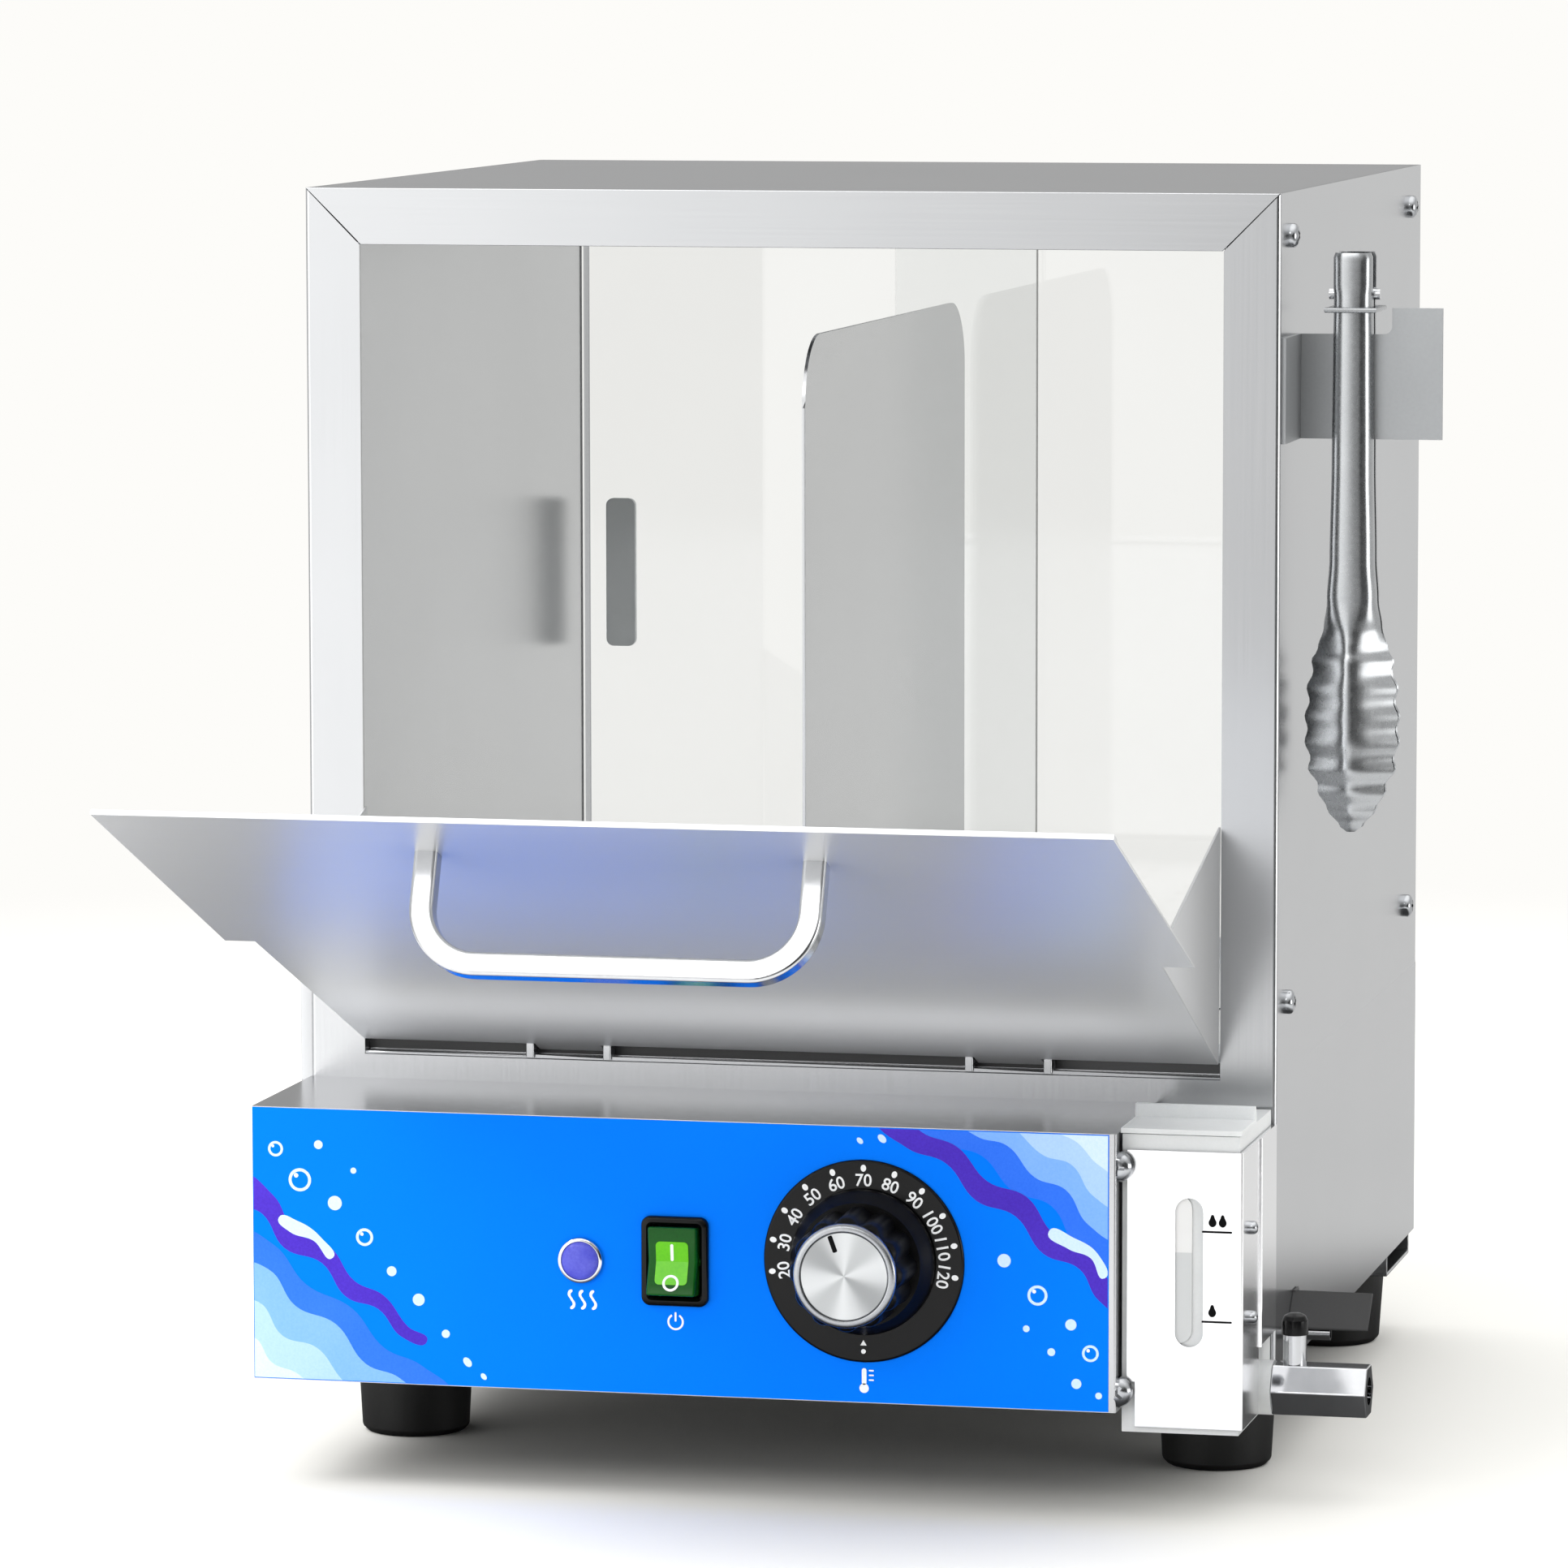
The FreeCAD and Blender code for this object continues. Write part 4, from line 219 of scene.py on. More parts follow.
def make_finishes(colours):
    """All the materials of the steamer by name."""
    steel = {"tones": ("#babbbd", "#bebfc1"), "relief_mm": 0.0002, "drift_mm": 90.0, "Metallic": 1.0}
    metal = {"drift_mm": 20.0, "Metallic": 1.0}
    plastic = {"drift_mm": 25.0, "IOR": 1.5}
    gloss = {"drift_mm": 25.0, "IOR": 1.5, "Specular IOR Level": 0.18}
    ink = {"rough": 0.4, "grain_mm": 0.8, "relief_mm": 0.001, "drift_mm": 40.0, "Specular IOR Level": 0.03}
    lit = {"drift_mm": 5.0, "IOR": 1.5, "Specular IOR Level": 0.3}
    film = tuple(colours.film)
    shaded_film = (film[0], film[1] * 0.97, film[2] * 0.98, 1.0)
    made = {
        # Polyester film, printed on its back: an even, deep blue under a satin face
        "blue_film": surfaced("printed_film", (film, shaded_film), **{**ink, "grain_mm": 1.5}),
        # Ground stainless sheet of the cabinet: pale satin grey, with soft reflections drawn out a little
        "steel_across": surfaced("brushed_steel_across", rough=0.23, grain_mm=GRAIN["X"], **steel),
        "steel_upright": surfaced("brushed_steel_upright", rough=0.23, grain_mm=GRAIN["Z"], **steel),
        # Door sheet, ground more finely: it scatters more, so what it mirrors is pale and blurred
        "door_steel": surfaced("satin_steel_door", rough=0.34, grain_mm=GRAIN["X"],
                               **{**steel, "tones": ("#cecfd1", "#d2d3d5"), "Metallic": 0.62}),
        # Dull sheet of the tong holder: a darker grey that scatters what it mirrors
        "holder_steel": surfaced("dull_steel", ("#a0a2a4", "#a6a8aa"), 0.45, 1.2, 0.0004, drift_mm=60.0,
                                 Metallic=0.75),
        # Polished stainless of the handle and the ring: bright, with crisp reflections
        "polished_steel": surfaced("polished_steel", ("#b9babc", "#c3c4c6"), 0.17, 3.0, 0.0006, **metal),
        # Drawn and tumbled stainless of the tongs: a darker grey, with broad soft streaks of light
        "tong_steel": surfaced("tumbled_steel", ("#a4a6a8", "#acaeb0"), 0.27, 2.0, 0.0006, **metal),
        # Screws of bright steel, whose crosses and rims stay dark
        "screw_steel": surfaced("screw_steel", ("#a3a5a8", "#b1b3b6"), 0.16, 1.0, 0.001, **metal),
        # Pivot rod painted dark: painted shade that stands for the shadow of the gap it sits in, with a dull
        # sheen
        "dark_steel": surfaced("pivot_rod_painted_shade", ("#242527", "#2b2c2e"), 0.5, 1.0, 0.001, **metal),
        # Bright-polished sheet of the gauge's cover: near white, with faint upright lines
        "bright_cover": surfaced("bright_polished_sheet", rough=0.2, grain_mm=GRAIN["Z"],
                                 **{**steel, "tones": ("#ececee", "#f2f2f3")}),
        # Deep-drawn stainless of the tank: slightly dull
        "tank_steel": surfaced("drawn_steel", ("#b8babc", "#c6c8ca"), 0.32, 2.0, 0.004, **metal),
        # Anodised aluminium of the glass tracks: dull silver
        "track_aluminium": surfaced("anodised_aluminium", ("#c2c4c6", "#cacccf"), 0.38, 0.8, 0.001, **metal),
        # Zinc plate on brackets and bottom plate: bluish grey with a soft spangle
        "plated_steel": surfaced("zinc_plate", ("#adb0b2", "#bec1c4"), 0.36, 4.0, 0.003, **metal),
        # Powder-coated plate: dark grey with fine orange peel
        "dark_plate": surfaced("powder_coat_dark", ("#222223", "#29292a"), 0.45, 0.9, 0.01, **plastic),
        # Chrome on the brass of the valve: mirror bright
        "valve_metal": surfaced("chrome_plate", ("#c6c7ca", "#d0d1d4"), 0.08, 5.0, 0.0004, **metal),
        # Element sheath: heat-browned steel
        "element_steel": surfaced("sheath_steel", ("#7d776f", "#958e85"), 0.42, 3.0, 0.004, **metal),
        # Glossy black ABS of dial, knob and bezel: deep black with small sharp highlights
        "black_gloss": surfaced("glossy_abs_black", ("#060607", "#0a0a0b"), 0.17, 0.8, 0.0006, **gloss),
        # Black grip of the knob, with a softer gloss
        "knob_black": surfaced("satin_abs_black", ("#080809", "#0c0c0d"), 0.32, 0.8, 0.001,
                               **{**gloss, "Specular IOR Level": 0.12}),
        # Dull black nylon of gland and thermostat
        "black_matte": surfaced("nylon_black", ("#141415", "#1c1c1d"), 0.48, 0.7, 0.006, **plastic),
        # Moulded rubber of the feet: black with a dull sheen
        "foot_rubber": surfaced("rubber_black", ("#171717", "#1f1f1f"), 0.42, 0.9, 0.01, **plastic),
        # Dark green rocker, with a lit window of a lighter green
        "green_rocker": surfaced("rocker_green_dark", ("#0b4a10", "#0e5515"), 0.2, 0.8, 0.0006, **gloss),
        "rocker_window": surfaced("rocker_window_green", (tuple(colours.rocker), linear("#62c000")), 0.2, 0.8,
                                  0.0006, **{**lit, "Emission Color": tuple(colours.rocker),
                                             "Emission Strength": 0.12}),
        # Violet lens of the lamp in a bright ring
        "lamp_lens": surfaced("lens_violet", (tuple(colours.lens), linear("#5a5ecb")), 0.15, 1.0, 0.0006,
                              **{**lit, "Emission Color": tuple(colours.lens), "Emission Strength": 0.1}),
        # Frosted polypropylene of the gauge tank and its lid: milky, light passes softened
        "frosted_plastic": surfaced("frosted_polypropylene", ("#f3f5f6", "#f9fbfc"), 0.42, 0.9, 0.002,
                                    drift_mm=12.0, IOR=1.45, **{"Transmission Weight": 0.35}),
        # Clear float glass of the rear panes
        "rear_glass": lit_through(surfaced("float_glass", ("#f2f3f3", "#f4f5f5"), 0.02, 60.0, 0.0001,
                                           drift_mm=200.0, IOR=1.5, **{"Transmission Weight": 1.0})),
        # Spun face, with fans of painted highlight in its colour, and turned rim of the knob's cap
        "spun_aluminium": spun_face("spun_aluminium", ("#a2a4a5", "#c3c5c6"), 0.3, middle_of("knob_cap")),
        "turned_aluminium": surfaced("turned_aluminium", ("#9a9c9f", "#a5a7aa"), 0.25, 1.0, 0.001, **metal),
    }
    # Screen-printed inks: flat, with a slightly uneven gloss
    for colour, tones in (
        ("white", ("#f2f4f6", "#fbfcfd")),
        ("black", ("#0c0c0d", "#131314")),
        ("violet", ("#4a2fb4", "#5238c6")),
        ("sky", ("#79adff", "#86b6ff")),
        ("pale", ("#a6caff", "#b2d3ff")),
        ("light", ("#c6e2ff", "#d6eaff")),
        ("deep", ("#2f6ff0", "#3a79f5")),
    ):
        made[f"ink_{colour}"] = surfaced(f"ink_{colour}", tones, **ink)
    return made


finishes = {}


def dress(piece, finish):
    """Give a piece one material in place of what it has."""
    piece.data.materials.clear()
    piece.data.materials.append(finishes[finish])
    return piece


# Shapes


def link_object(name, data):
    """Put an object with this data into the scene."""
    made = bpy.data.objects.new(name, data)
    bpy.context.scene.collection.objects.link(made)
    return made


def mesh_of(name, shape):
    """Turn a bmesh into a mesh."""
    mesh = bpy.data.meshes.new(name)
    shape.to_mesh(mesh)
    shape.free()
    return mesh


def take_in(shape, mesh, place):
    """Add a mesh at its place to a bmesh."""
    mesh.transform(place)
    shape.from_mesh(mesh)
    bpy.data.meshes.remove(mesh)
    return shape


def mesh_from(holder):
    """The mesh that an object has once its curve or modifiers are worked out."""
    graph = bpy.context.evaluated_depsgraph_get()
    return bpy.data.meshes.new_from_object(holder.evaluated_get(graph))


def middle_of(node):
    """The middle of a node's box."""
    return sum(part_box(node), Vector()) / 2


def body_of(node):
    """The body that a node rides on."""
    return frame["nodes"][node]["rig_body"]


def metres(lengths):
    """Lengths in millimetres as metres."""
    return [length * MM for length in lengths]


def in_plane(centre, turn, across=1.0, up=1.0):
    """A place in the XY plane for a shape that is stretched, turned and moved."""
    return (Matrix.Translation((*centre, 0)) @ Matrix.Rotation(turn, 4, "Z")
            @ Matrix.Diagonal((across, up, 1, 1)))


def on_front(x, y, z):
    """A place on an upright face that looks forward: X across, Y up the face and Z out of it."""
    return Matrix.Translation((x, y, z)) @ FRONT_VIEW


def new_piece(name, shape, body, finish, replaces=()):
    """Turn a bmesh into a piece that rides on a body of the frame."""
    mesh = mesh_of(name, shape)
    mesh.shade_smooth()
    mesh.set_sharp_from_angle(angle=SHARP_EDGE)
    piece = dress(link_object(name, mesh), finish)
    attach(piece, body)
    if replaces:
        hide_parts(*replaces)
    return piece


def merged_copy(node):
    """A node's mesh with its loose triangles welded into whole faces."""
    shape = bmesh.new()
    shape.from_mesh(frame["nodes"][node].data)
    bmesh.ops.remove_doubles(shape, verts=shape.verts, dist=WELD)
    bmesh.ops.dissolve_limit(shape, angle_limit=FLAT_JOIN, verts=shape.verts, edges=shape.edges)
    return shape


def ease_edges(shape, width, least, segments):
    """Round the sharp edges that are longer than the least length."""
    sharp = [edge for edge in shape.edges
             if len(edge.link_faces) == 2 and edge.calc_face_angle(0) > SHARP_EDGE
             and edge.calc_length() > least]
    bmesh.ops.bevel(shape, geom=sharp, offset=width, offset_type="OFFSET", segments=segments,
                    profile=0.5, affect="EDGES", clamp_overlap=True, material=-1)
    return shape


def eased_copy(node, finish, width, least=3 * MM, segments=2):
    """A node's copy that stands for it, with its edges rounded by a width in a number of steps."""
    shape = ease_edges(merged_copy(node), width, least, segments)
    return even_faces(new_piece(f"{node}_finished", shape, body_of(node), finish, [node]))


def even_faces(piece):
    """Keep the large faces flat in the light, so that only their rounded edges turn it."""
    even = piece.modifiers.new("even_faces", "WEIGHTED_NORMAL")
    even.mode = "FACE_AREA"
    even.weight = 100
    even.keep_sharp = True
    return piece


def turned_shape(profile, place, steps):
    """Spin a profile of radius and height pairs round its own Z axis, then put it in its place."""
    shape = bmesh.new()
    points = [shape.verts.new((radius, 0, height)) for radius, height in profile]
    edges = [shape.edges.new(pair) for pair in zip(points, points[1:])]
    bmesh.ops.spin(shape, geom=points + edges, cent=(0, 0, 0), axis=(0, 0, 1), angle=FULL_TURN,
                   steps=steps, use_merge=True, use_normal_flip=False, use_duplicate=False)
    bmesh.ops.remove_doubles(shape, verts=shape.verts, dist=WELD)
    bmesh.ops.recalc_face_normals(shape, faces=shape.faces)
    bmesh.ops.transform(shape, matrix=place, verts=shape.verts)
    return shape


def rounded_panel(shape, width, height, corner, centre=(0, 0), turn=0.0, segments=8):
    """Add a flat rectangle with rounded corners in the XY plane."""
    before = set(shape.verts)
    corners = bmesh.ops.create_grid(shape, x_segments=1, y_segments=1, size=0.5)["verts"]
    bmesh.ops.scale(shape, vec=(width, height, 1), verts=corners)
    bmesh.ops.bevel(shape, geom=corners, offset=corner, offset_type="OFFSET", segments=segments,
                    profile=0.5, affect="VERTICES", clamp_overlap=False, material=-1)
    added = [vert for vert in shape.verts if vert not in before]
    bmesh.ops.transform(shape, matrix=in_plane(centre, turn), verts=added)


def flat_disc(shape, radius, centre=(0, 0), stretch=1.0, turn=0.0, segments=32):
    """Add a flat disc or oval in the XY plane."""
    bmesh.ops.create_circle(shape, cap_ends=True, radius=radius, segments=segments,
                            matrix=in_plane(centre, turn, 1.0, stretch))


def arc_band(shape, centre, inner, outer, start, sweep, steps=32):
    """Add a flat band that follows an arc in the XY plane."""
    heading = Vector((math.cos(start), math.sin(start), 0))
    middle = Vector((*centre, 0))
    ends = [shape.verts.new(middle + heading * radius) for radius in (inner, outer)]
    edge = shape.edges.new(ends)
    bmesh.ops.spin(shape, geom=ends + [edge], cent=middle, axis=(0, 0, 1), angle=sweep, steps=steps,
                   use_merge=abs(sweep) >= FULL_TURN - WELD)


def smooth_outline(shape, points, centre=(0, 0)):
    """Add a flat shape with a smooth outline through points that are in millimetres."""
    curve = bpy.data.curves.new("outline", "CURVE")
    curve.dimensions = "2D"
    curve.fill_mode = "BOTH"
    curve.resolution_u = 8
    spline = curve.splines.new("BEZIER")
    spline.bezier_points.add(len(points) - 1)
    for knot, (x, y) in zip(spline.bezier_points, points):
        knot.co = (x, y, 0)
        knot.handle_left_type = knot.handle_right_type = "AUTO"
    spline.use_cyclic_u = True
    add_flat(shape, curve, in_plane(centre, 0.0, MM, MM))


# How much the strokes of a number are thickened, as a share of its height
BOLD_SHARE = 0.012


def flat_text(shape, text, height, centre, turn):
    """Add a number as a flat shape in the XY plane."""
    curve = bpy.data.curves.new("number", "FONT")
    curve.body = text
    curve.size = height
    curve.align_x = "CENTER"
    curve.align_y = "CENTER"
    curve.resolution_u = 4
    curve.offset = height * BOLD_SHARE
    add_flat(shape, curve, in_plane(centre, turn))


def add_flat(shape, curve, place):
    """Make a flat curve a mesh, and only then put it in its place."""
    holder = link_object("flat_curve", curve)
    mesh = mesh_from(holder)
    bpy.data.objects.remove(holder)
    take_in(shape, mesh, place)


def printed(name, shape, place, depth, body, finish):
    """Give flat shapes the thickness of ink, and lay them on a face by a matrix."""
    bmesh.ops.remove_doubles(shape, verts=shape.verts, dist=WELD)
    bmesh.ops.recalc_face_normals(shape, faces=shape.faces)
    flipped = [face for face in shape.faces if face.normal.z < 0]
    bmesh.ops.reverse_faces(shape, faces=flipped)
    raised = bmesh.ops.extrude_face_region(shape, geom=shape.faces[:], use_keep_orig=True)["geom"]
    tops = [item for item in raised if isinstance(item, bmesh.types.BMVert)]
    bmesh.ops.translate(shape, vec=(0, 0, depth), verts=tops)
    bmesh.ops.recalc_face_normals(shape, faces=shape.faces)
    bmesh.ops.transform(shape, matrix=place, verts=shape.verts)
    return new_piece(name, shape, body, finish)


def trim(shape, low, high):
    """Cut flat shapes at the four edges of a rectangle in the XY plane."""
    for corner, sign in ((low, 1), (high, -1)):
        for normal in ((sign, 0, 0), (0, sign, 0)):
            bmesh.ops.bisect_plane(shape, geom=shape.verts[:] + shape.edges[:] + shape.faces[:],
                                   dist=WELD, plane_co=(*corner, 0), plane_no=normal, clear_inner=True)


# Settings


class SteamerSizes(bpy.types.PropertyGroup):
    """Sizes that a user would change."""

    sheet_edge: FloatProperty(name="Sheet edge", description="Rounding of the cabinet's sheet edges",
                              default=0.35 * MM, min=0.1 * MM, max=0.55 * MM, unit="LENGTH")
    ink_depth: FloatProperty(name="Ink depth", description="Thickness of each printed layer",
                             default=0.03 * MM, min=0.01 * MM, max=0.05 * MM, unit="LENGTH")
    knob_lobes: IntProperty(name="Knob lobes", description="Number of finger lobes round the knob",
                            default=12, min=8, max=36)
    knob_lobe_depth: FloatProperty(name="Lobe depth", description="Depth of the hollow between two lobes",
                                   default=2.2 * MM, min=0.5 * MM, max=2.5 * MM, unit="LENGTH")
    number_height: FloatProperty(name="Number height", description="Height of the dial's numbers",
                                 default=6.2 * MM, min=3 * MM, max=8 * MM, unit="LENGTH")
    water_level: FloatProperty(name="Water level", description="Height of the water in the gauge's window",
                               default=96.0 * MM, min=60 * MM, max=110 * MM, unit="LENGTH")
    tong_sheet: FloatProperty(name="Tong sheet", description="Thickness of the tongs' sheet",
                              default=0.8 * MM, min=0.6 * MM, max=1.0 * MM, unit="LENGTH")


class SteamerColours(bpy.types.PropertyGroup):
    """Colours that a user would change."""

    film: FloatVectorProperty(name="Film", description="Ground colour of the front film", size=4,
                              subtype="COLOR", default=linear("#007aff"), min=0, max=1)
    rocker: FloatVectorProperty(name="Rocker window", description="Colour of the switch's lit window", size=4,
                                subtype="COLOR", default=linear("#56b400"), min=0, max=1)
    lens: FloatVectorProperty(name="Lamp lens", description="Colour of the lamp's lens", size=4,
                              subtype="COLOR", default=linear("#4a4cc0"), min=0, max=1)
    window: FloatVectorProperty(name="Gauge window", description="Colour of the window above the water",
                                size=4, subtype="COLOR", default=linear("#dcdcdc"), min=0, max=1)
    water: FloatVectorProperty(name="Water", description="Colour of the window below the level", size=4,
                               subtype="COLOR", default=linear("#c2c4c5"), min=0, max=1)
    floor: FloatVectorProperty(name="Floor", description="Colour of the studio floor", size=4,
                               subtype="COLOR", default=linear("#eeede9"), min=0, max=1)


# Operators


class STEAMER_OT_finishes(bpy.types.Operator):
    """Make the materials, and give every node of the frame the one of its slot"""

    bl_idname = "steamer.finishes"
    bl_label = "Finishes"

    # The finish of a slot that isn't named like it, and of a node that has one of its own
    by_slot = {"satin_steel": "steel_across"}
    # the pivot rod gets the painted shade of the gap behind it
    own = {"hinge_rod": "dark_steel"}

    def execute(self, context):
        finishes.update(make_finishes(context.scene.steamer_colours))
        for name, cad in frame["nodes"].items():
            dress(cad, self.own.get(name, self.by_slot.get(slots[name], slots[name])))
        return {"FINISHED"}


class STEAMER_OT_cabinet(bpy.types.Operator):
    """Cabinet, base and box of folded steel sheet with softly rounded edges"""

    bl_idname = "steamer.cabinet"
    bl_label = "Sheet metal"

    finish_of = {
        "steel_across": ("top_panel", "front_sill", "base_rear_panel", "control_box", "rear_foot_channel"),
        "steel_upright": ("left_side_panel", "right_side_panel", "left_liner", "right_liner", "base_shell",
                          "service_cover", "divider"),
        "holder_steel": ("tong_holder",),
        "dark_plate": ("drip_shield",),
    }
    sheet = 1.2 * MM
    upstand = 5.3 * MM
    # The painted shade strip behind the pivot rod: its thickness and its inset from the sill's edges
    tape = 0.06 * MM
    tape_inset = 0.05 * MM
    glue = 0.1 * MM
    pull_edge = 0.4 * MM

    def execute(self, context):
        for finish, nodes in self.finish_of.items():
            for node in nodes:
                eased_copy(node, finish, context.scene.steamer_sizes.sheet_edge)
        self.seal()
        for node in ("left_pull", "right_pull"):
            self.pad(node)
        return {"FINISHED"}

    def seal(self):
        """A thin dark strip on the sill's upstand behind the pivot rod: painted shade that stands for the
        shadow in the gap, not a real part.
        """
        low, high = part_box("front_sill")
        shape = bmesh.new()
        bmesh.ops.create_cube(shape, size=1.0)
        rim = 2 * self.tape_inset
        size = Matrix.Diagonal((high.x - low.x - rim, self.tape, self.upstand - self.sheet - rim, 1))
        middle = Matrix.Translation(((low.x + high.x) / 2, high.y - self.sheet - self.tape / 2,
                                     low.z + (self.upstand + self.sheet) / 2))
        bmesh.ops.transform(shape, matrix=middle @ size, verts=shape.verts)
        # painted shade: a dark plate strip where the gap holds only shadow
        new_piece("sill_painted_shade", shape, body_of("front_sill"), "dark_plate")

    def pad(self, node):
        """A moulded finger pull, whose face stands clear of the glass by the thickness of its glue."""
        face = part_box(node)[0].y
        piece = eased_copy(node, "frosted_plastic", self.pull_edge)
        for vert in piece.data.vertices:
            if vert.co.y < face + self.glue:
                vert.co.y += self.glue


class STEAMER_OT_door(bpy.types.Operator):
    """Door of folded sheet with its D handle"""

    bl_idname = "steamer.door"
    bl_label = "Door and handle"

    handle_copy = ("door_handle", "polished_steel", 0.8 * MM, 1.5 * MM, 3)

    def execute(self, context):
        eased_copy("door_panel", "door_steel", context.scene.steamer_sizes.sheet_edge)
        eased_copy(*self.handle_copy)
        return {"FINISHED"}


# The crown of a pan head in shares of its radius and height, and the cross in shares of the same two
CROWN_SHARES = ((1, 0), (1, 0.45), (0.93, 0.68), (0.72, 0.9), (0.4, 1), (0, 1))
CORE_SHARE = 0.24
ARM_SHARE = 0.4
CROSS_DEPTH_SHARE = 0.9
HEAD_STEPS = 24


def recessed_head(radius, height, stem, length):
    """A screw whose pan head stands on the XY plane, with a cross pressed into its crown."""
    crown = [(radius * across, height * up) for across, up in CROWN_SHARES]
    head = turned_shape([(0, -length), (stem, -length), (stem, 0), *crown], Matrix.Identity(4), HEAD_STEPS)
    cross = bmesh.new()
    core = bmesh.ops.create_cube(cross, size=1.0)["verts"]
    width = radius * CORE_SHARE
    bmesh.ops.scale(cross, vec=(width, width, height * CROSS_DEPTH_SHARE), verts=core)
    sides = [face for face in cross.faces if abs(face.normal.z) < 0.5]
    for face in bmesh.ops.extrude_discrete_faces(cross, faces=sides)["faces"]:
        bmesh.ops.translate(cross, vec=face.normal * radius * ARM_SHARE, verts=face.verts)
    bmesh.ops.translate(cross, vec=(0, 0, height), verts=cross.verts)
    holders = [link_object(name, mesh_of(name, shape)) for name, shape in (("head", head), ("cross", cross))]
    cut = holders[0].modifiers.new("cross", "BOOLEAN")
    cut.operation = "DIFFERENCE"
    cut.solver = "EXACT"
    cut.object = holders[1]
    mesh = mesh_from(holders[0])
    for holder in holders:
        bpy.data.objects.remove(holder)
    return mesh


class STEAMER_OT_screws(bpy.types.Operator):
    """Pan-head screws with a pressed cross, on the sides, the box, the gauge and the handle"""

    bl_idname = "steamer.screws"
    bl_label = "Screws"

    # Each node's screws, and the share of their drawn radius that the heads show
    head_shares = {"side_screws": 1.0, "control_screws": 0.68, "handle_screws": 1.0}
    rim_share = 0.98
    # Each cross is turned by its screw's height and depth, so that no two look alike
    turn_per_height = 47.0
    turn_per_depth = 31.0

    def execute(self, context):
        for node, share in self.head_shares.items():
            shape = merged_copy(node)
            heads = bmesh.new()
            for points in self.islands(shape):
                self.place_screw(heads, points, self.heading(node, points[0]), share)
            shape.free()
            new_piece(f"{node}_finished", heads, body_of(node), "screw_steel", [node])
        return {"FINISHED"}

    def islands(self, shape):
        """The points of each loose part of a shape."""
        left = set(shape.verts)
        found = []
        for first in shape.verts:
            if first not in left:
                continue
            left.remove(first)
            batch = [first]
            part = []
            while batch:
                vert = batch.pop()
                part.append(vert.co.copy())
                for edge in vert.link_edges:
                    other = edge.other_vert(vert)
                    if other in left:
                        left.remove(other)
                        batch.append(other)
            found.append(part)
        return found

    def heading(self, node, point):
        """The way a screw's head points."""
        if node == "handle_screws":
            return Vector((0, math.cos(DOOR_ANGLE), math.sin(DOOR_ANGLE)))
        if node == "control_screws" and point.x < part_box("gauge_cover")[0].x:
            return Vector((0, -1, 0))
        return Vector((math.copysign(1.0, point.x), 0, 0))

    def place_screw(self, heads, points, normal, share):
        """Add a screw with the size and the place of the node's own."""
        middle = sum(points, Vector()) / len(points)
        wide = [(point - middle).cross(normal).length for point in points]
        reach = [(point - middle).dot(normal) for point in points]
        radius = max(wide)
        seat = min(r for r, w in zip(reach, wide) if w > radius * self.rim_share)
        stem = max(w for r, w in zip(reach, wide) if r < min(reach) + WELD * 10)
        turn = Vector((0, 0, 1)).rotation_difference(normal).to_matrix().to_4x4()
        spin = Matrix.Rotation(middle.z * self.turn_per_height + middle.y * self.turn_per_depth, 4, "Z")
        mesh = recessed_head(radius * share, max(reach) - seat, stem, seat - min(reach))
        take_in(heads, mesh, Matrix.Translation(middle + normal * seat) @ turn @ spin)


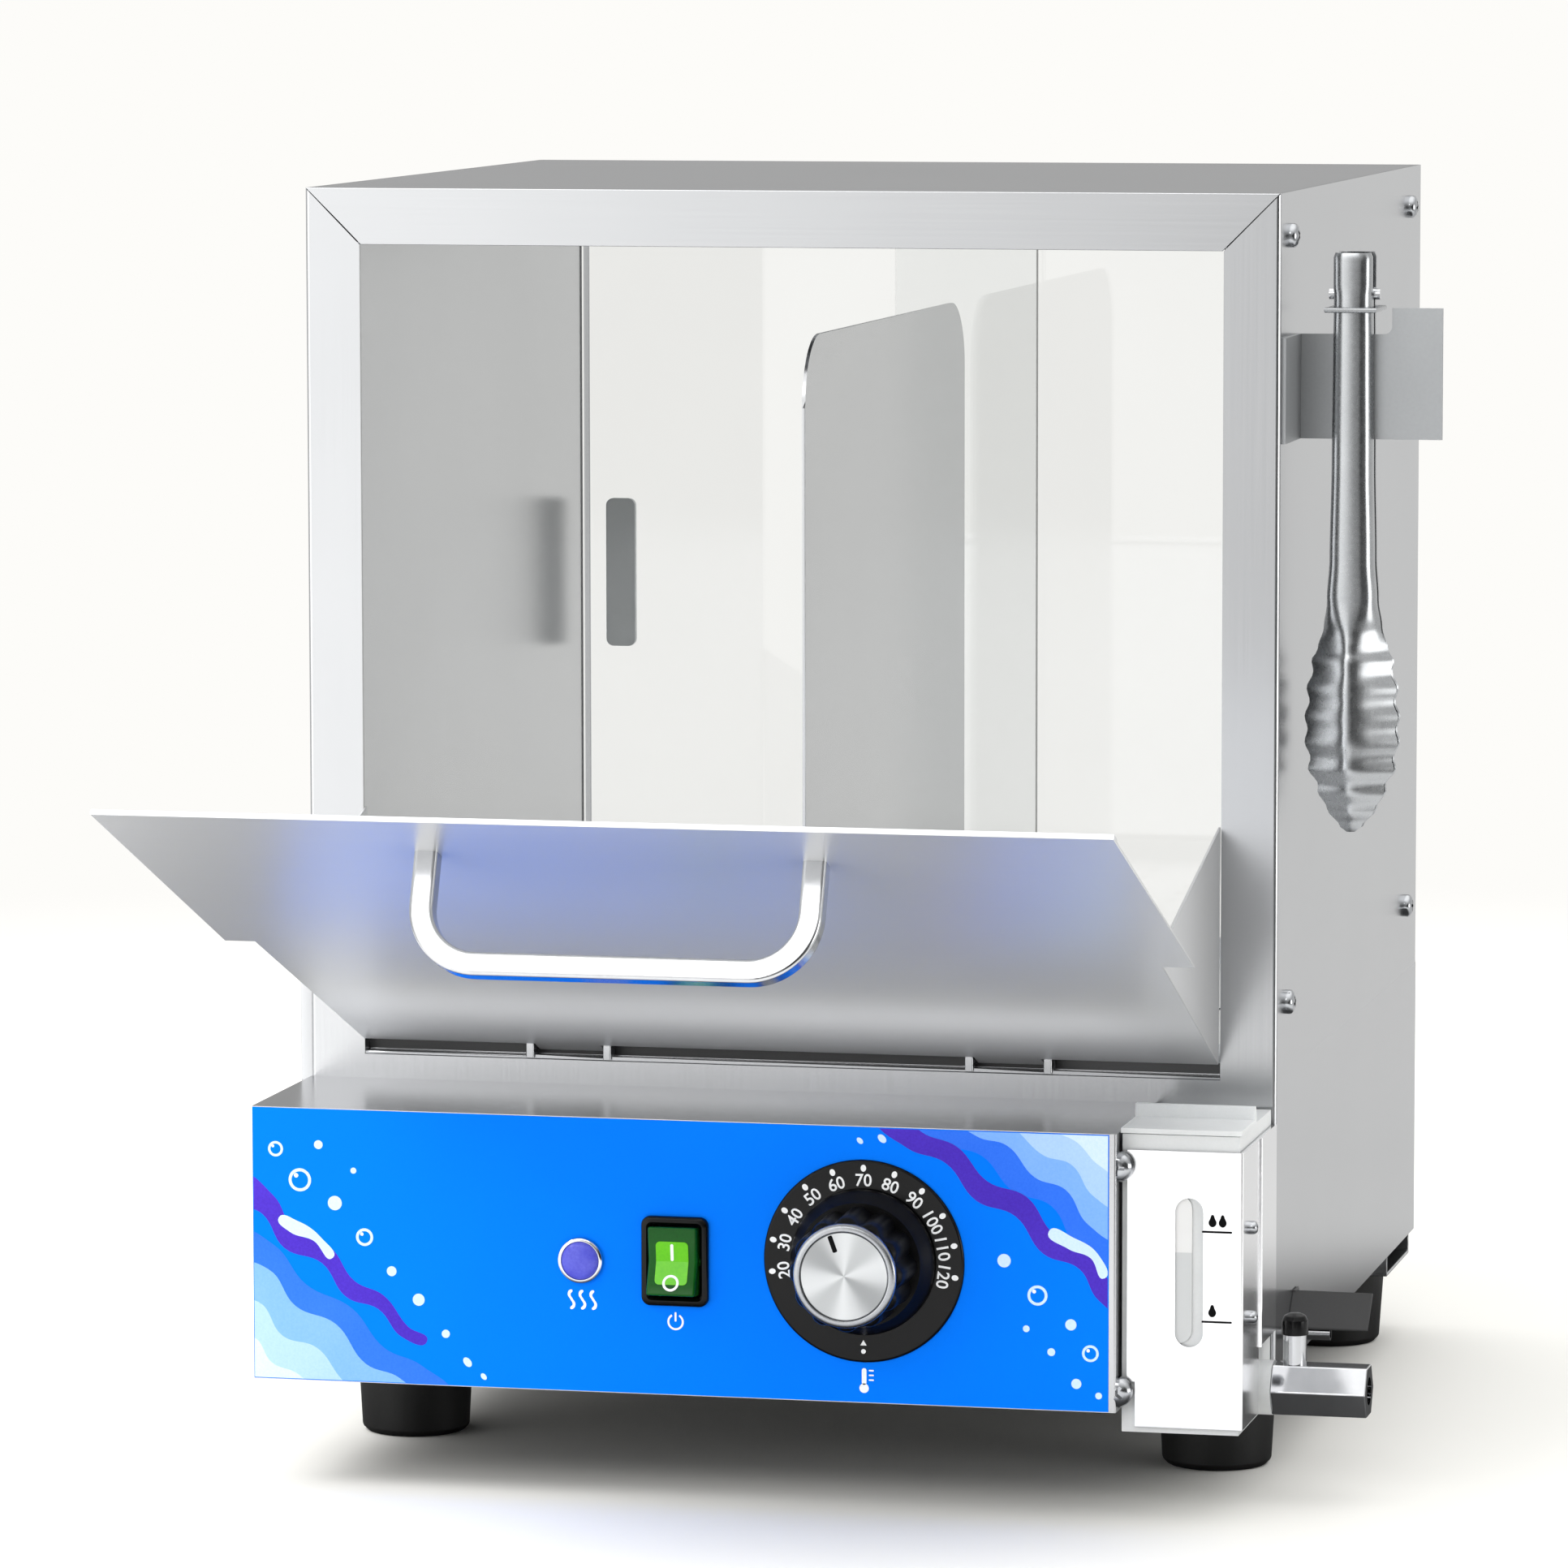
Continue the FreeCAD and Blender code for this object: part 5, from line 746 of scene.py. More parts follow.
class STEAMER_OT_film(bpy.types.Operator):
    """Blue front film with printed ripples, bubbles and small signs"""

    bl_idname = "steamer.film"
    bl_label = "Front film"

    film_copy = ("panel_overlay", "blue_film", 0.1 * MM, 20 * MM)
    bare_rim = 0.3 * MM
    # Each layer of ink starts this share of its depth further out than the one below
    layer_share = 0.3
    first_bubble_layer = 6
    sign_layer = 9

    def execute(self, context):
        eased_copy(*self.film_copy)
        low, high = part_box("panel_overlay")
        self.corners = (Vector((low.x + self.bare_rim, low.z + self.bare_rim)),
                        Vector((high.x - self.bare_rim, high.z - self.bare_rim)))
        self.front = low.y
        self.depth = context.scene.steamer_sizes.ink_depth
        for layer, (finish, outlines) in enumerate(self.ripples):
            sheet = bmesh.new()
            for points in outlines:
                smooth_outline(sheet, points)
            self.lay(f"print_{layer}_{finish}", sheet, layer, finish)
        for layer, (finish, marks) in enumerate(self.bubbles, start=self.first_bubble_layer):
            sheet = bmesh.new()
            for x, y, radius, *oval in marks:
                flat_disc(sheet, radius * MM, (x * MM, y * MM), *oval)
            self.lay(f"print_{layer}_{finish}", sheet, layer, finish)
        self.lay("signs_white", self.signs(), self.sign_layer, "ink_white")
        return {"FINISHED"}

    def lay(self, name, sheet, layer, finish):
        """Lay a printed layer on the film, without its bare rim."""
        trim(sheet, *self.corners)
        place = on_front(0, self.front - layer * self.depth * self.layer_share, 0)
        printed(name, sheet, place, self.depth, "housing", finish)

    # Closed outlines of ripples and ribbons in millimetres, from the lowest layer up
    ripples = (
        ("ink_deep", (
            [(-186, 30), (-186, 92), (-172, 88), (-160, 74), (-143, 66), (-131, 52), (-117, 46), (-106, 34)],
            [(62, 144), (74, 133), (88, 129), (99, 117), (113, 112), (122, 98), (136, 92), (142, 144)],
        )),
        ("ink_sky", (
            [(-186, 30), (-186, 80), (-174, 79), (-164, 66), (-149, 60), (-138, 46), (-125, 41), (-118, 32)],
            [(78, 144), (86, 136), (97, 133), (107, 122), (118, 118), (126, 106), (139, 101), (142, 144)],
        )),
        ("ink_pale", (
            [(-186, 30), (-186, 66), (-178, 67), (-169, 55), (-156, 51), (-147, 40), (-139, 33)],
            [(94, 144), (101, 138), (110, 130), (120, 127), (128, 116), (140, 112), (142, 144)],
        )),
        ("ink_violet", (
            [(-186, 104), (-176, 99), (-168, 87), (-154, 82), (-145, 70), (-133, 66), (-124, 56), (-115, 55),
             (-122, 60), (-131, 71), (-142, 76), (-151, 88), (-164, 93), (-172, 106), (-186, 113)],
            [(50, 143), (61, 131), (75, 126), (86, 113), (100, 108), (110, 95), (123, 90), (130, 79),
             (142, 74), (142, 82), (134, 86), (127, 97), (114, 102), (104, 115), (90, 120), (79, 132),
             (66, 137), (60, 144)],
        )),
        ("ink_light", (
            [(-186, 30), (-186, 52), (-180, 54), (-173, 45), (-163, 41), (-157, 33)],
            [(110, 144), (114, 139), (122, 135), (130, 127), (142, 123), (142, 144)],
            [(-170, 98), (-166, 93), (-157, 90), (-150, 84), (-154, 91), (-163, 97)],
            [(112, 103), (119, 97), (127, 94), (132, 87), (130, 95), (121, 101)],
        )),
    )

    # Bubbles and drops in millimetres: middle, radius and, for a drop, its stretch and its turn in radians
    bubbles = (
        ("ink_light", (
            (-162, 112, 4.2), (-149, 104, 2.6), (-171, 123, 2.8), (-138, 92, 3.2), (-128, 80, 1.8),
            (-155, 125, 1.6), (-118, 70, 2.2), (-108, 58, 1.5), (-142, 116, 1.1), (96, 92, 2.4),
            (108, 80, 3.6), (120, 70, 2.0), (127, 60, 3.0), (113, 60, 1.4), (122, 49, 1.8), (104, 68, 1.2),
            (130, 45, 1.2), (-100, 48, 1.3, 1.5, 0.7), (-94, 43, 0.9, 1.5, 0.7), (52, 134, 1.2, 1.5, 0.8),
            (44, 133, 0.9, 1.5, 0.8),
        )),
        ("blue_film", ((-162, 112, 3.1), (-171, 123, 1.9), (-138, 92, 2.2), (108, 80, 2.6), (127, 60, 2.1))),
        ("ink_white", ((-163.4, 113.6, 0.8), (-139, 93.1, 0.6), (106.8, 81.4, 0.7), (126.2, 61, 0.6),
                       (-172, 124, 0.5))),
    )

    # Signs under the controls in millimetres: heights over the floor, and width, height and corner of bars
    wave_height = 72.4
    wave_shifts = (-4.0, 0.0, 4.0)
    wave_outline = ((0.0, -3.4), (0.9, -1.8), (0.0, 0.0), (-0.9, 1.8), (0.0, 3.4),
                    (0.8, 3.2), (0.1, 1.7), (1.0, 0.0), (1.9, -1.8), (0.8, -3.6))
    power_height = 65.6
    power_radii = (2.3, 3.0)
    power_start = math.radians(120)
    power_sweep = math.radians(300)
    power_bar = (0.7, 3.4, 0.3)
    power_bar_height = 67.4
    tube_bar = (1.7, 6.0, 0.8)
    tube_height = 48.6
    bulb_radius = 1.7
    bulb_height = 44.4
    tick_bar = (1.8, 0.55, 0.2)
    tick_shift = 2.6
    tick_heights = (47.4, 49.1, 50.8)

    def signs(self):
        """Small white signs below the lamp, the switch and the dial: warmth, on and off, temperature."""
        lamp, switch, dial = [middle_of(node).x for node in ("lamp_bezel", "switch_bezel", "dial_plate")]
        sheet = bmesh.new()
        for shift in self.wave_shifts:
            smooth_outline(sheet, self.wave_outline, (lamp + shift * MM, self.wave_height * MM))
        arc_band(sheet, (switch, self.power_height * MM), *metres(self.power_radii), self.power_start,
                 self.power_sweep)
        self.bar(sheet, self.power_bar, switch, self.power_bar_height, 3)
        self.bar(sheet, self.tube_bar, dial, self.tube_height, 4)
        flat_disc(sheet, self.bulb_radius * MM, (dial, self.bulb_height * MM))
        for height in self.tick_heights:
            self.bar(sheet, self.tick_bar, dial + self.tick_shift * MM, height, 2)
        return sheet

    def bar(self, sheet, size, x, height, segments):
        """Add a bar of a sign, whose size and height are in millimetres."""
        rounded_panel(sheet, *metres(size), (x, height * MM), segments=segments)


class STEAMER_OT_dial(bpy.types.Operator):
    """Black dial plate with dots and numbers, and the lobed knob with its spun cap"""

    bl_idname = "steamer.dial"
    bl_label = "Dial and knob"

    plate_copy = ("dial_plate", "black_gloss", 0.35 * MM, 0.2 * MM, 3)
    # The scale: its numbers, the turn of the first one and of each step in degrees, and sizes in metres
    numbers = range(20, 121, 10)
    first_turn = -98
    turn_step = 19.6
    dot_radius = 1.0 * MM
    dot_stretch = 1.25
    dot_reach = 33.4 * MM
    number_reach = 28.9 * MM
    low_dot_radius = 0.85 * MM
    low_dot_reach = 32.2 * MM
    pointer_radius = 1.3 * MM
    pointer_reach = 29.4 * MM
    dot_segments = 16
    print_rise = 0.005 * MM

    def execute(self, context):
        sizes = context.scene.steamer_sizes
        eased_copy(*self.plate_copy)
        middle = middle_of("dial_plate")
        sheet = bmesh.new()
        for step, number in enumerate(self.numbers):
            turn = math.radians(self.first_turn + step * self.turn_step)
            heading = Vector((math.sin(turn), math.cos(turn)))
            flat_disc(sheet, self.dot_radius, heading * self.dot_reach, self.dot_stretch, -turn,
                      self.dot_segments)
            flat_text(sheet, str(number), sizes.number_height, heading * self.number_reach, -turn)
        flat_disc(sheet, self.low_dot_radius, (0, -self.low_dot_reach), segments=self.dot_segments)
        flat_disc(sheet, self.pointer_radius, (0, -self.pointer_reach), segments=3)
        place = on_front(middle.x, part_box("dial_plate")[0].y - self.print_rise, middle.z)
        printed("dial_print", sheet, place, sizes.ink_depth, "housing", "ink_white")
        self.knob(sizes, middle)
        return {"FINISHED"}

    # Outlines of the knob's turned parts in millimetres: radius, or how far in from the rim, and height
    bore = 3.2
    skirt = ((26, 0), (26, 1.6), (25.6, 2.3), (24.8, 3.6), (23.2, 5.6), (22.2, 7.4), (3.2, 7.4))
    rim = ((2.9, 0), (0, 0), (0, 1.3), (0.25, 1.9), (0.8, 2.35), (1.2, 2.45), (2.2, 2.6), (2.5, 2.5),
           (2.65, 1.6), (2.9, 1.5), (2.9, 0))
    face = ((3.1, 2.15), (2.85, 1.9), (2.85, 0.2))
    knob_steps = 96
    # The black mark in millimetres: width, length and corner, thickness, distance in from the rim and height
    mark = (1.7, 6.2, 0.5)
    mark_depth = 0.05
    mark_inset = 6.45
    mark_height = 2.14
    mark_turn = math.radians(20)

    def knob(self, sizes, middle):
        """Skirt, lobed grip, cap with a spun face and its black mark."""
        low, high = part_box("knob_body")
        place = on_front(middle.x, high.y, middle.z)
        shape = self.turned([(self.bore, 0), *self.skirt, (self.bore, 0)], place)
        self.add_grip(shape, sizes, place, high.y - low.y)
        new_piece("knob_grip", shape, "knob", "knob_black", ["knob_body"])
        low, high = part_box("knob_cap")
        place = on_front(middle.x, high.y, middle.z)
        reach = (high.x - low.x) / 2 / MM
        shape = self.turned([(reach - inset, height) for inset, height in self.rim], place)
        new_piece("knob_rim", shape, "knob", "turned_aluminium", ["knob_cap"])
        face = [(reach - inset, height) for inset, height in self.face]
        shape = self.turned([(0, face[0][1]), *face, (0, face[-1][1])], place)
        new_piece("knob_face", shape, "knob", "spun_aluminium")
        sheet = bmesh.new()
        heading = Vector((-math.sin(self.mark_turn), math.cos(self.mark_turn)))
        rounded_panel(sheet, *metres(self.mark), heading * (reach - self.mark_inset) * MM, self.mark_turn, 4)
        printed("knob_mark", sheet, place @ Matrix.Translation((0, 0, self.mark_height * MM)),
                self.mark_depth * MM, "knob", "ink_black")

    def turned(self, outline, place):
        """A turned part of the knob from an outline in millimetres."""
        return turned_shape([(r * MM, h * MM) for r, h in outline], place, self.knob_steps)

    # The lobed grip: points of each lobe, how sharply the hollows narrow, and its radius and foot in metres
    lobe_points = 8
    hollow_power = 2
    grip_radius = 21.0 * MM
    grip_foot = 7.0 * MM
    # Each step up the grip: its rise, and the share that its outline keeps
    grip_steps = ((13.0 * MM, 0.985), (7.4 * MM, 0.985), (1.0 * MM, 0.975), (0.5 * MM, 0.955))

    def add_grip(self, shape, sizes, place, height):
        """Grow the lobed grip from a circle: the hollows are drawn in, then it rises and closes."""
        grip = bmesh.new()
        ring = bmesh.ops.create_circle(grip, cap_ends=False, radius=self.grip_radius,
                                       segments=sizes.knob_lobes * self.lobe_points)["verts"]
        for index, vert in enumerate(ring):
            share = (1 - math.cos(index % self.lobe_points / self.lobe_points * FULL_TURN)) / 2
            inward = 1 - share**self.hollow_power * sizes.knob_lobe_depth / self.grip_radius
            bmesh.ops.scale(grip, vec=(inward,) * 3, verts=[vert])
        bmesh.ops.translate(grip, vec=(0, 0, self.grip_foot), verts=ring)
        edges = grip.edges[:]
        for rise, keep_share in self.grip_steps:
            grown = bmesh.ops.extrude_edge_only(grip, edges=edges)["geom"]
            verts = [item for item in grown if isinstance(item, bmesh.types.BMVert)]
            edges = [item for item in grown if isinstance(item, bmesh.types.BMEdge)]
            bmesh.ops.translate(grip, vec=(0, 0, rise), verts=verts)
            bmesh.ops.scale(grip, vec=(keep_share, keep_share, 1), verts=verts)
        rise = height - max(vert.co.z for vert in grip.verts)
        bmesh.ops.translate(grip, vec=(0, 0, rise), verts=verts)
        bmesh.ops.contextual_create(grip, geom=edges)
        bmesh.ops.contextual_create(grip, geom=[edge for edge in grip.edges if edge.is_boundary])
        bmesh.ops.recalc_face_normals(grip, faces=grip.faces)
        take_in(shape, mesh_of("grip", grip), place)


class STEAMER_OT_switch(bpy.types.Operator):
    """Black bezel, green rocker with its lit window, and the marks for on and off"""

    bl_idname = "steamer.switch"
    bl_label = "Switch and lamp"

    # Rounding of the rocker, least length of a rounded edge, and steps round it
    rocker_edge = (0.9 * MM, 3 * MM, 3)
    # Window and marks in metres: panels have a width, a height and a corner, and then a shift along the face
    window = (11.8 * MM, 15.8 * MM, 1.6 * MM)
    window_shift = -0.6 * MM
    window_depth = 0.3 * MM
    on_bar = (1.1 * MM, 6.2 * MM, 0.5 * MM)
    on_shift = 3.4 * MM
    off_radii = (2.1 * MM, 3.0 * MM)
    off_shift = -7.9 * MM
    mark_rise = 0.29 * MM
    mark_depth = 0.08 * MM
    far = 20 * MM

    def execute(self, context):
        self.bezel()
        shape = ease_edges(merged_copy("switch_rocker"), *self.rocker_edge)
        front = sorted(shape.faces, key=lambda item: item.calc_area() * max(-item.normal.y, 0))[-2:]
        lower, upper = sorted(front, key=lambda item: item.calc_center_median().z)
        ridge = sum((vert.co for vert in set(upper.verts) & set(lower.verts)), Vector()) / 2
        places = [self.plane(ridge, face.normal.copy()) for face in (upper, lower)]
        piece = new_piece("switch_rocker_finished", shape, "rocker", "green_rocker",
                          ["switch_rocker"])
        even_faces(piece)
        for name, place, low, high in (("upper", places[0], (-self.far, 0), (self.far, self.far)),
                                       ("lower", places[1], (-self.far, -self.far), (self.far, 0))):
            sheet = bmesh.new()
            rounded_panel(sheet, *self.window, (0, self.window_shift))
            trim(sheet, low, high)
            printed(f"rocker_window_{name}", sheet, place, self.window_depth, "rocker",
                    "rocker_window")
            marks = bmesh.new()
            rounded_panel(marks, *self.on_bar, (0, self.on_shift), segments=3)
            arc_band(marks, (0, self.off_shift), *self.off_radii, 0.0, FULL_TURN)
            trim(marks, low, high)
            printed(f"rocker_marks_{name}", marks, place @ Matrix.Translation((0, 0, self.mark_rise)),
                    self.mark_depth, "rocker", "ink_white")
        self.lamp()
        return {"FINISHED"}

    def plane(self, middle, normal):
        """A place on a face of the rocker: X across, Y up the face and Z out of it."""
        up = (Vector((0, 0, 1)) - normal * normal.z).normalized()
        axes = Matrix((up.cross(normal).normalized(), up, normal)).transposed().to_4x4()
        return Matrix.Translation(middle) @ axes

    # The bezel's moulded profile: inset, height above the film and corner radius, in millimetres
    frame_profile = ((0.0, 0.0, 3.2), (0.0, 1.3, 3.2), (0.25, 1.8, 3.0), (0.8, 2.15, 2.8), (2.0, 2.2, 2.0),
                     (2.7, 1.6, 1.5), (3.0, 0.4, 1.3), (3.0, -12.0, 1.3))

    def bezel(self):
        """Carry the moulded profile round a rectangle with wide corners."""
        low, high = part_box("switch_bezel")
        shape = bmesh.new()
        rings = []
        for inset, rise, corner in self.frame_profile:
            known = set(shape.verts), set(shape.edges), set(shape.faces)
            rim = 2 * inset * MM
            rounded_panel(shape, high.x - low.x - rim, high.z - low.z - rim, corner * MM)
            verts, edges, faces = [[item for item in found if item not in old]
                                   for found, old in zip((shape.verts, shape.edges, shape.faces), known)]
            bmesh.ops.delete(shape, geom=faces, context="FACES_ONLY")
            bmesh.ops.translate(shape, vec=(0, 0, rise * MM), verts=verts)
            rings.append(edges)
        for ring, following in zip(rings, rings[1:]):
            bmesh.ops.bridge_loops(shape, edges=ring + following)
        bmesh.ops.recalc_face_normals(shape, faces=shape.faces)
        middle = middle_of("switch_bezel")
        place = on_front(middle.x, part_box("panel_overlay")[0].y, middle.z)
        bmesh.ops.transform(shape, matrix=place, verts=shape.verts)
        new_piece("switch_frame", shape, "housing", "black_gloss", ["switch_bezel"])

    # The lamp's ring: how far in each point is from the outside, or out from the lens, in metres, and its
    # share of the height
    ring_outside = ((0, 0), (0, 0.5), (0.25 * MM, 0.85), (0.7 * MM, 1))
    ring_inside = ((0.2 * MM, 1), (0, 0.8), (0, 0))
    lens_gap = 0.02 * MM
    # The dome of the lens: shares of its radius and height
    dome_shares = ((0, 1), (0.35, 0.985), (0.6, 0.94), (0.8, 0.85), (0.93, 0.7), (1, 0.5), (1, 0), (0, 0))
    lamp_steps = 48

    def lamp(self):
        """A bright ring with a low domed lens."""
        low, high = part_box("lamp_bezel")
        lens_low, lens_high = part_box("lamp_lens")
        middle = middle_of("lamp_bezel")
        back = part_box("panel_overlay")[0].y
        reach = (high.x - low.x) / 2
        lens = (lens_high.x - lens_low.x) / 2
        rise = back - low.y
        profile = [(lens, 0), *((reach - inset, rise * share) for inset, share in self.ring_outside),
                   *((lens + inset, rise * share) for inset, share in self.ring_inside)]
        place = on_front(middle.x, back, middle.z)
        shape = turned_shape(profile, place, self.lamp_steps)
        new_piece("lamp_ring", shape, "housing", "valve_metal", ["lamp_bezel"])
        height = back - lens_low.y
        rim = lens - self.lens_gap
        profile = [(rim * across, height * up) for across, up in self.dome_shares]
        shape = turned_shape(profile, place, self.lamp_steps)
        new_piece("lamp_dome", shape, "housing", "lamp_lens", ["lamp_lens"])


class STEAMER_OT_gauge(bpy.types.Operator):
    """Water gauge: frosted tank and lid, bright cover, window and level marks"""

    bl_idname = "steamer.gauge"
    bl_label = "Water gauge"

    copies = (
        ("gauge_tank", "frosted_plastic", 0.5 * MM, 4 * MM, 3),
        ("gauge_lid", "frosted_plastic", 0.5 * MM, 2 * MM, 3),
        ("gauge_cover", "bright_cover", 0.35 * MM, 4 * MM, 2),
    )
    # The window: width, height and corner, its middle from the cover's right edge and over the floor
    window = (9.6 * MM, 52.6 * MM, 4.75 * MM)
    window_inset = 24.0 * MM
    window_height = 90.0 * MM
    window_depth = 0.6 * MM
    # The level marks in millimetres: height of each line, and the shifts of its drops
    levels = ((103.8, (-1.6, 2.0)), (71.8, (-1.6,)))
    line = (10.8, 0.75, 0.3)
    drop = ((0.0, 2.9), (0.9, 1.4), (1.4, 0.1), (0.9, -1.1),
            (0.0, -1.5), (-0.9, -1.1), (-1.4, 0.1), (-0.9, 1.4))
    drop_rise = 3.2
    marks_inset = 10.2 * MM
    marks_rise = 0.01 * MM
    marks_depth = 0.04 * MM

    def execute(self, context):
        scene = context.scene
        for settings in self.copies:
            eased_copy(*settings)
        low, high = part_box("gauge_cover")
        colours = scene.steamer_colours
        finishes["level_window"] = level_window("frosted_level_window", tuple(colours.window),
                                                tuple(colours.water), scene.steamer_sizes.water_level)
        window = bmesh.new()
        rounded_panel(window, *self.window, segments=12)
        place = on_front(high.x - self.window_inset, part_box("gauge_tank")[0].y, self.window_height)
        printed("gauge_window", window, place, self.window_depth, "housing",
                "level_window")
        marks = bmesh.new()
        for height, shifts in self.levels:
            rounded_panel(marks, *metres(self.line), (0, height * MM), segments=2)
            for shift in shifts:
                smooth_outline(marks, self.drop, (shift * MM, (height + self.drop_rise) * MM))
        place = on_front(high.x - self.marks_inset, low.y - self.marks_rise, 0)
        printed("gauge_marks", marks, place, self.marks_depth, "housing", "ink_black")
        return {"FINISHED"}


class STEAMER_OT_valve(bpy.types.Operator):
    """Drain valve: chrome hexagon and stem, and black cap"""

    bl_idname = "steamer.valve"
    bl_label = "Drain valve"

    copies = (
        ("valve_body", "valve_metal", 0.5 * MM, 4 * MM, 3),
        ("valve_cap", "black_gloss", 1.6 * MM, 0.3 * MM, 4),
    )

    def execute(self, context):
        for settings in self.copies:
            eased_copy(*settings)
        return {"FINISHED"}


class STEAMER_OT_feet(bpy.types.Operator):
    """Tapered rubber feet"""

    bl_idname = "steamer.feet"
    bl_label = "Feet"

    edge = 0.6 * MM
    least = 0.2 * MM

    def execute(self, context):
        for node in ("front_feet", "rear_feet"):
            eased_copy(node, "foot_rubber", self.edge, self.least)
        return {"FINISHED"}


class STEAMER_OT_tongs(bpy.types.Operator):
    """Tongs pressed from sheet: soft channel handles and leaf-shaped heads with scalloped sides"""

    bl_idname = "steamer.tongs"
    bl_label = "Tongs"

    ring_copy = ("tongs_ring", "tong_steel", 0.6 * MM, 4 * MM, 3)

    def execute(self, context):
        sheet = context.scene.steamer_sizes.tong_sheet
        for node, side in (("tongs_front_arm", -1), ("tongs_rear_arm", 1)):
            shape = self.arm(side, sheet)
            new_piece(f"{node}_finished", shape, body_of(node), "tong_steel", [node])
        eased_copy(*self.ring_copy)
        return {"FINISHED"}

    # Height below the pin, half width and depth of the arm, in millimetres
    stations = ((-15.0, 6.4, 9.0), (-13.5, 7.0, 9.4), (-8.0, 7.0, 9.5), (0.0, 7.0, 9.5), (20.0, 7.2, 9.5),
                (60.0, 7.5, 9.5), (95.0, 8.1, 9.4), (110.0, 9.0, 9.6), (120.0, 10.4, 10.4),
                (128.0, 12.6, 11.8), (132.0, 14.8, 12.8), (142.0, 16.4, 13.4), (158.0, 17.3, 13.4),
                (170.0, 16.0, 12.0), (178.0, 13.0, 9.8), (186.0, 8.6, 7.0), (192.0, 4.0, 4.4),
                (194.0, 1.4, 3.2))
    steps_across = 16
    steps_along = 130
    # The handle's section is an oval of this power; the leaf's is a ridge with a rounded top
    oval_power = 0.6
    ridge_round_share = 0.05
    ridge_width_share = 0.86
    # Heights below the pin where the leaf and the ribs begin and end, and how soon each is full
    pin_end = -1
    leaf_start = 108
    leaf_rise = 20
    rib_start = 128
    rib_rise = 6
    rib_end = 186
    rib_fall = 12
    first_rib = 132
    rib_pitch = 10.0
    rib_inset = 1.4
    rib_depth = 0.28
    # The ribs press deepest on the flanks, at this share of the half width and over about this share
    flank_share = 0.62
    flank_width_share = 0.3
    # How far the edges stand off the middle plane: on the handle, above the pin and how much more on the leaf
    edge_gap = 1.6
    pin_gap = 3.6
    leaf_gap = 1.2
    least_depth = 0.4

    def arm(self, side, sheet):
        """Bend a grid into the pressed arm, then give it the sheet's thickness."""
        shape = bmesh.new()
        bmesh.ops.create_grid(shape, x_segments=self.steps_across, y_segments=self.steps_along, size=1.0)
        for vert in shape.verts:
            across, deep, drop = self.pressed(vert.co.x, (1 - vert.co.y) / 2)
            vert.co = Vector((across * MM, side * deep * MM, -drop * MM))
        bmesh.ops.recalc_face_normals(shape, faces=shape.faces)
        outward = Vector((0, side, 0))
        if sum(face.normal.dot(outward) * face.calc_area() for face in shape.faces) < 0:
            bmesh.ops.reverse_faces(shape, faces=shape.faces)
        bmesh.ops.solidify(shape, geom=shape.faces[:], thickness=sheet)
        bmesh.ops.translate(shape, vec=middle_of("tongs_pin"), verts=shape.verts)
        return shape

    def pressed(self, reach, share):
        """Place across, outward and down, in millimetres, for shares of the arm's half width and length."""
        drop, half, depth = self.station(share)
        turn = reach * QUARTER_TURN
        across = math.copysign(abs(math.sin(turn)) ** self.oval_power, turn)
        deep = max(math.cos(turn), 0.0) ** self.oval_power
        leaf = self.ease((drop - self.leaf_start) / self.leaf_rise)
        across += (reach - across) * leaf
        soft = self.ridge_round_share
        ridge = (math.sqrt(1 + soft) - math.sqrt(reach * reach + soft)) / self.ridge_width_share
        deep += (ridge - deep) * leaf
        ribs = (self.ease((drop - self.rib_start) / self.rib_rise)
                * self.ease((self.rib_end - drop) / self.rib_fall)
                * (1 - math.cos((drop - self.first_rib) / self.rib_pitch * FULL_TURN)) / 2)
        half -= ribs * self.rib_inset
        flank = math.exp(-(((abs(reach) - self.flank_share) / self.flank_width_share) ** 2))
        depth -= ribs * self.rib_depth * flank
        gap = self.edge_gap if drop > self.pin_end else self.pin_gap
        gap += self.leaf_gap * self.ease((drop - self.rib_start) / self.leaf_rise)
        gap = min(gap, depth - self.least_depth)
        return half * across, gap + (depth - gap) * deep, drop

    def ease(self, share):
        """A share from 0 to 1 that starts and ends softly."""
        share = min(max(share, 0.0), 1.0)
        return share * share * (3 - 2 * share)

    def station(self, share):
        """Drop, half width and depth at a share of the arm's length, smoothly between the stations."""
        drop = self.stations[0][0] + (self.stations[-1][0] - self.stations[0][0]) * share
        for start, stop in zip(self.stations, self.stations[1:]):
            if drop <= stop[0] + WELD:
                blend = self.ease((drop - start[0]) / (stop[0] - start[0]))
                return drop, start[1] + (stop[1] - start[1]) * blend, start[2] + (stop[2] - start[2]) * blend
        return self.stations[-1]


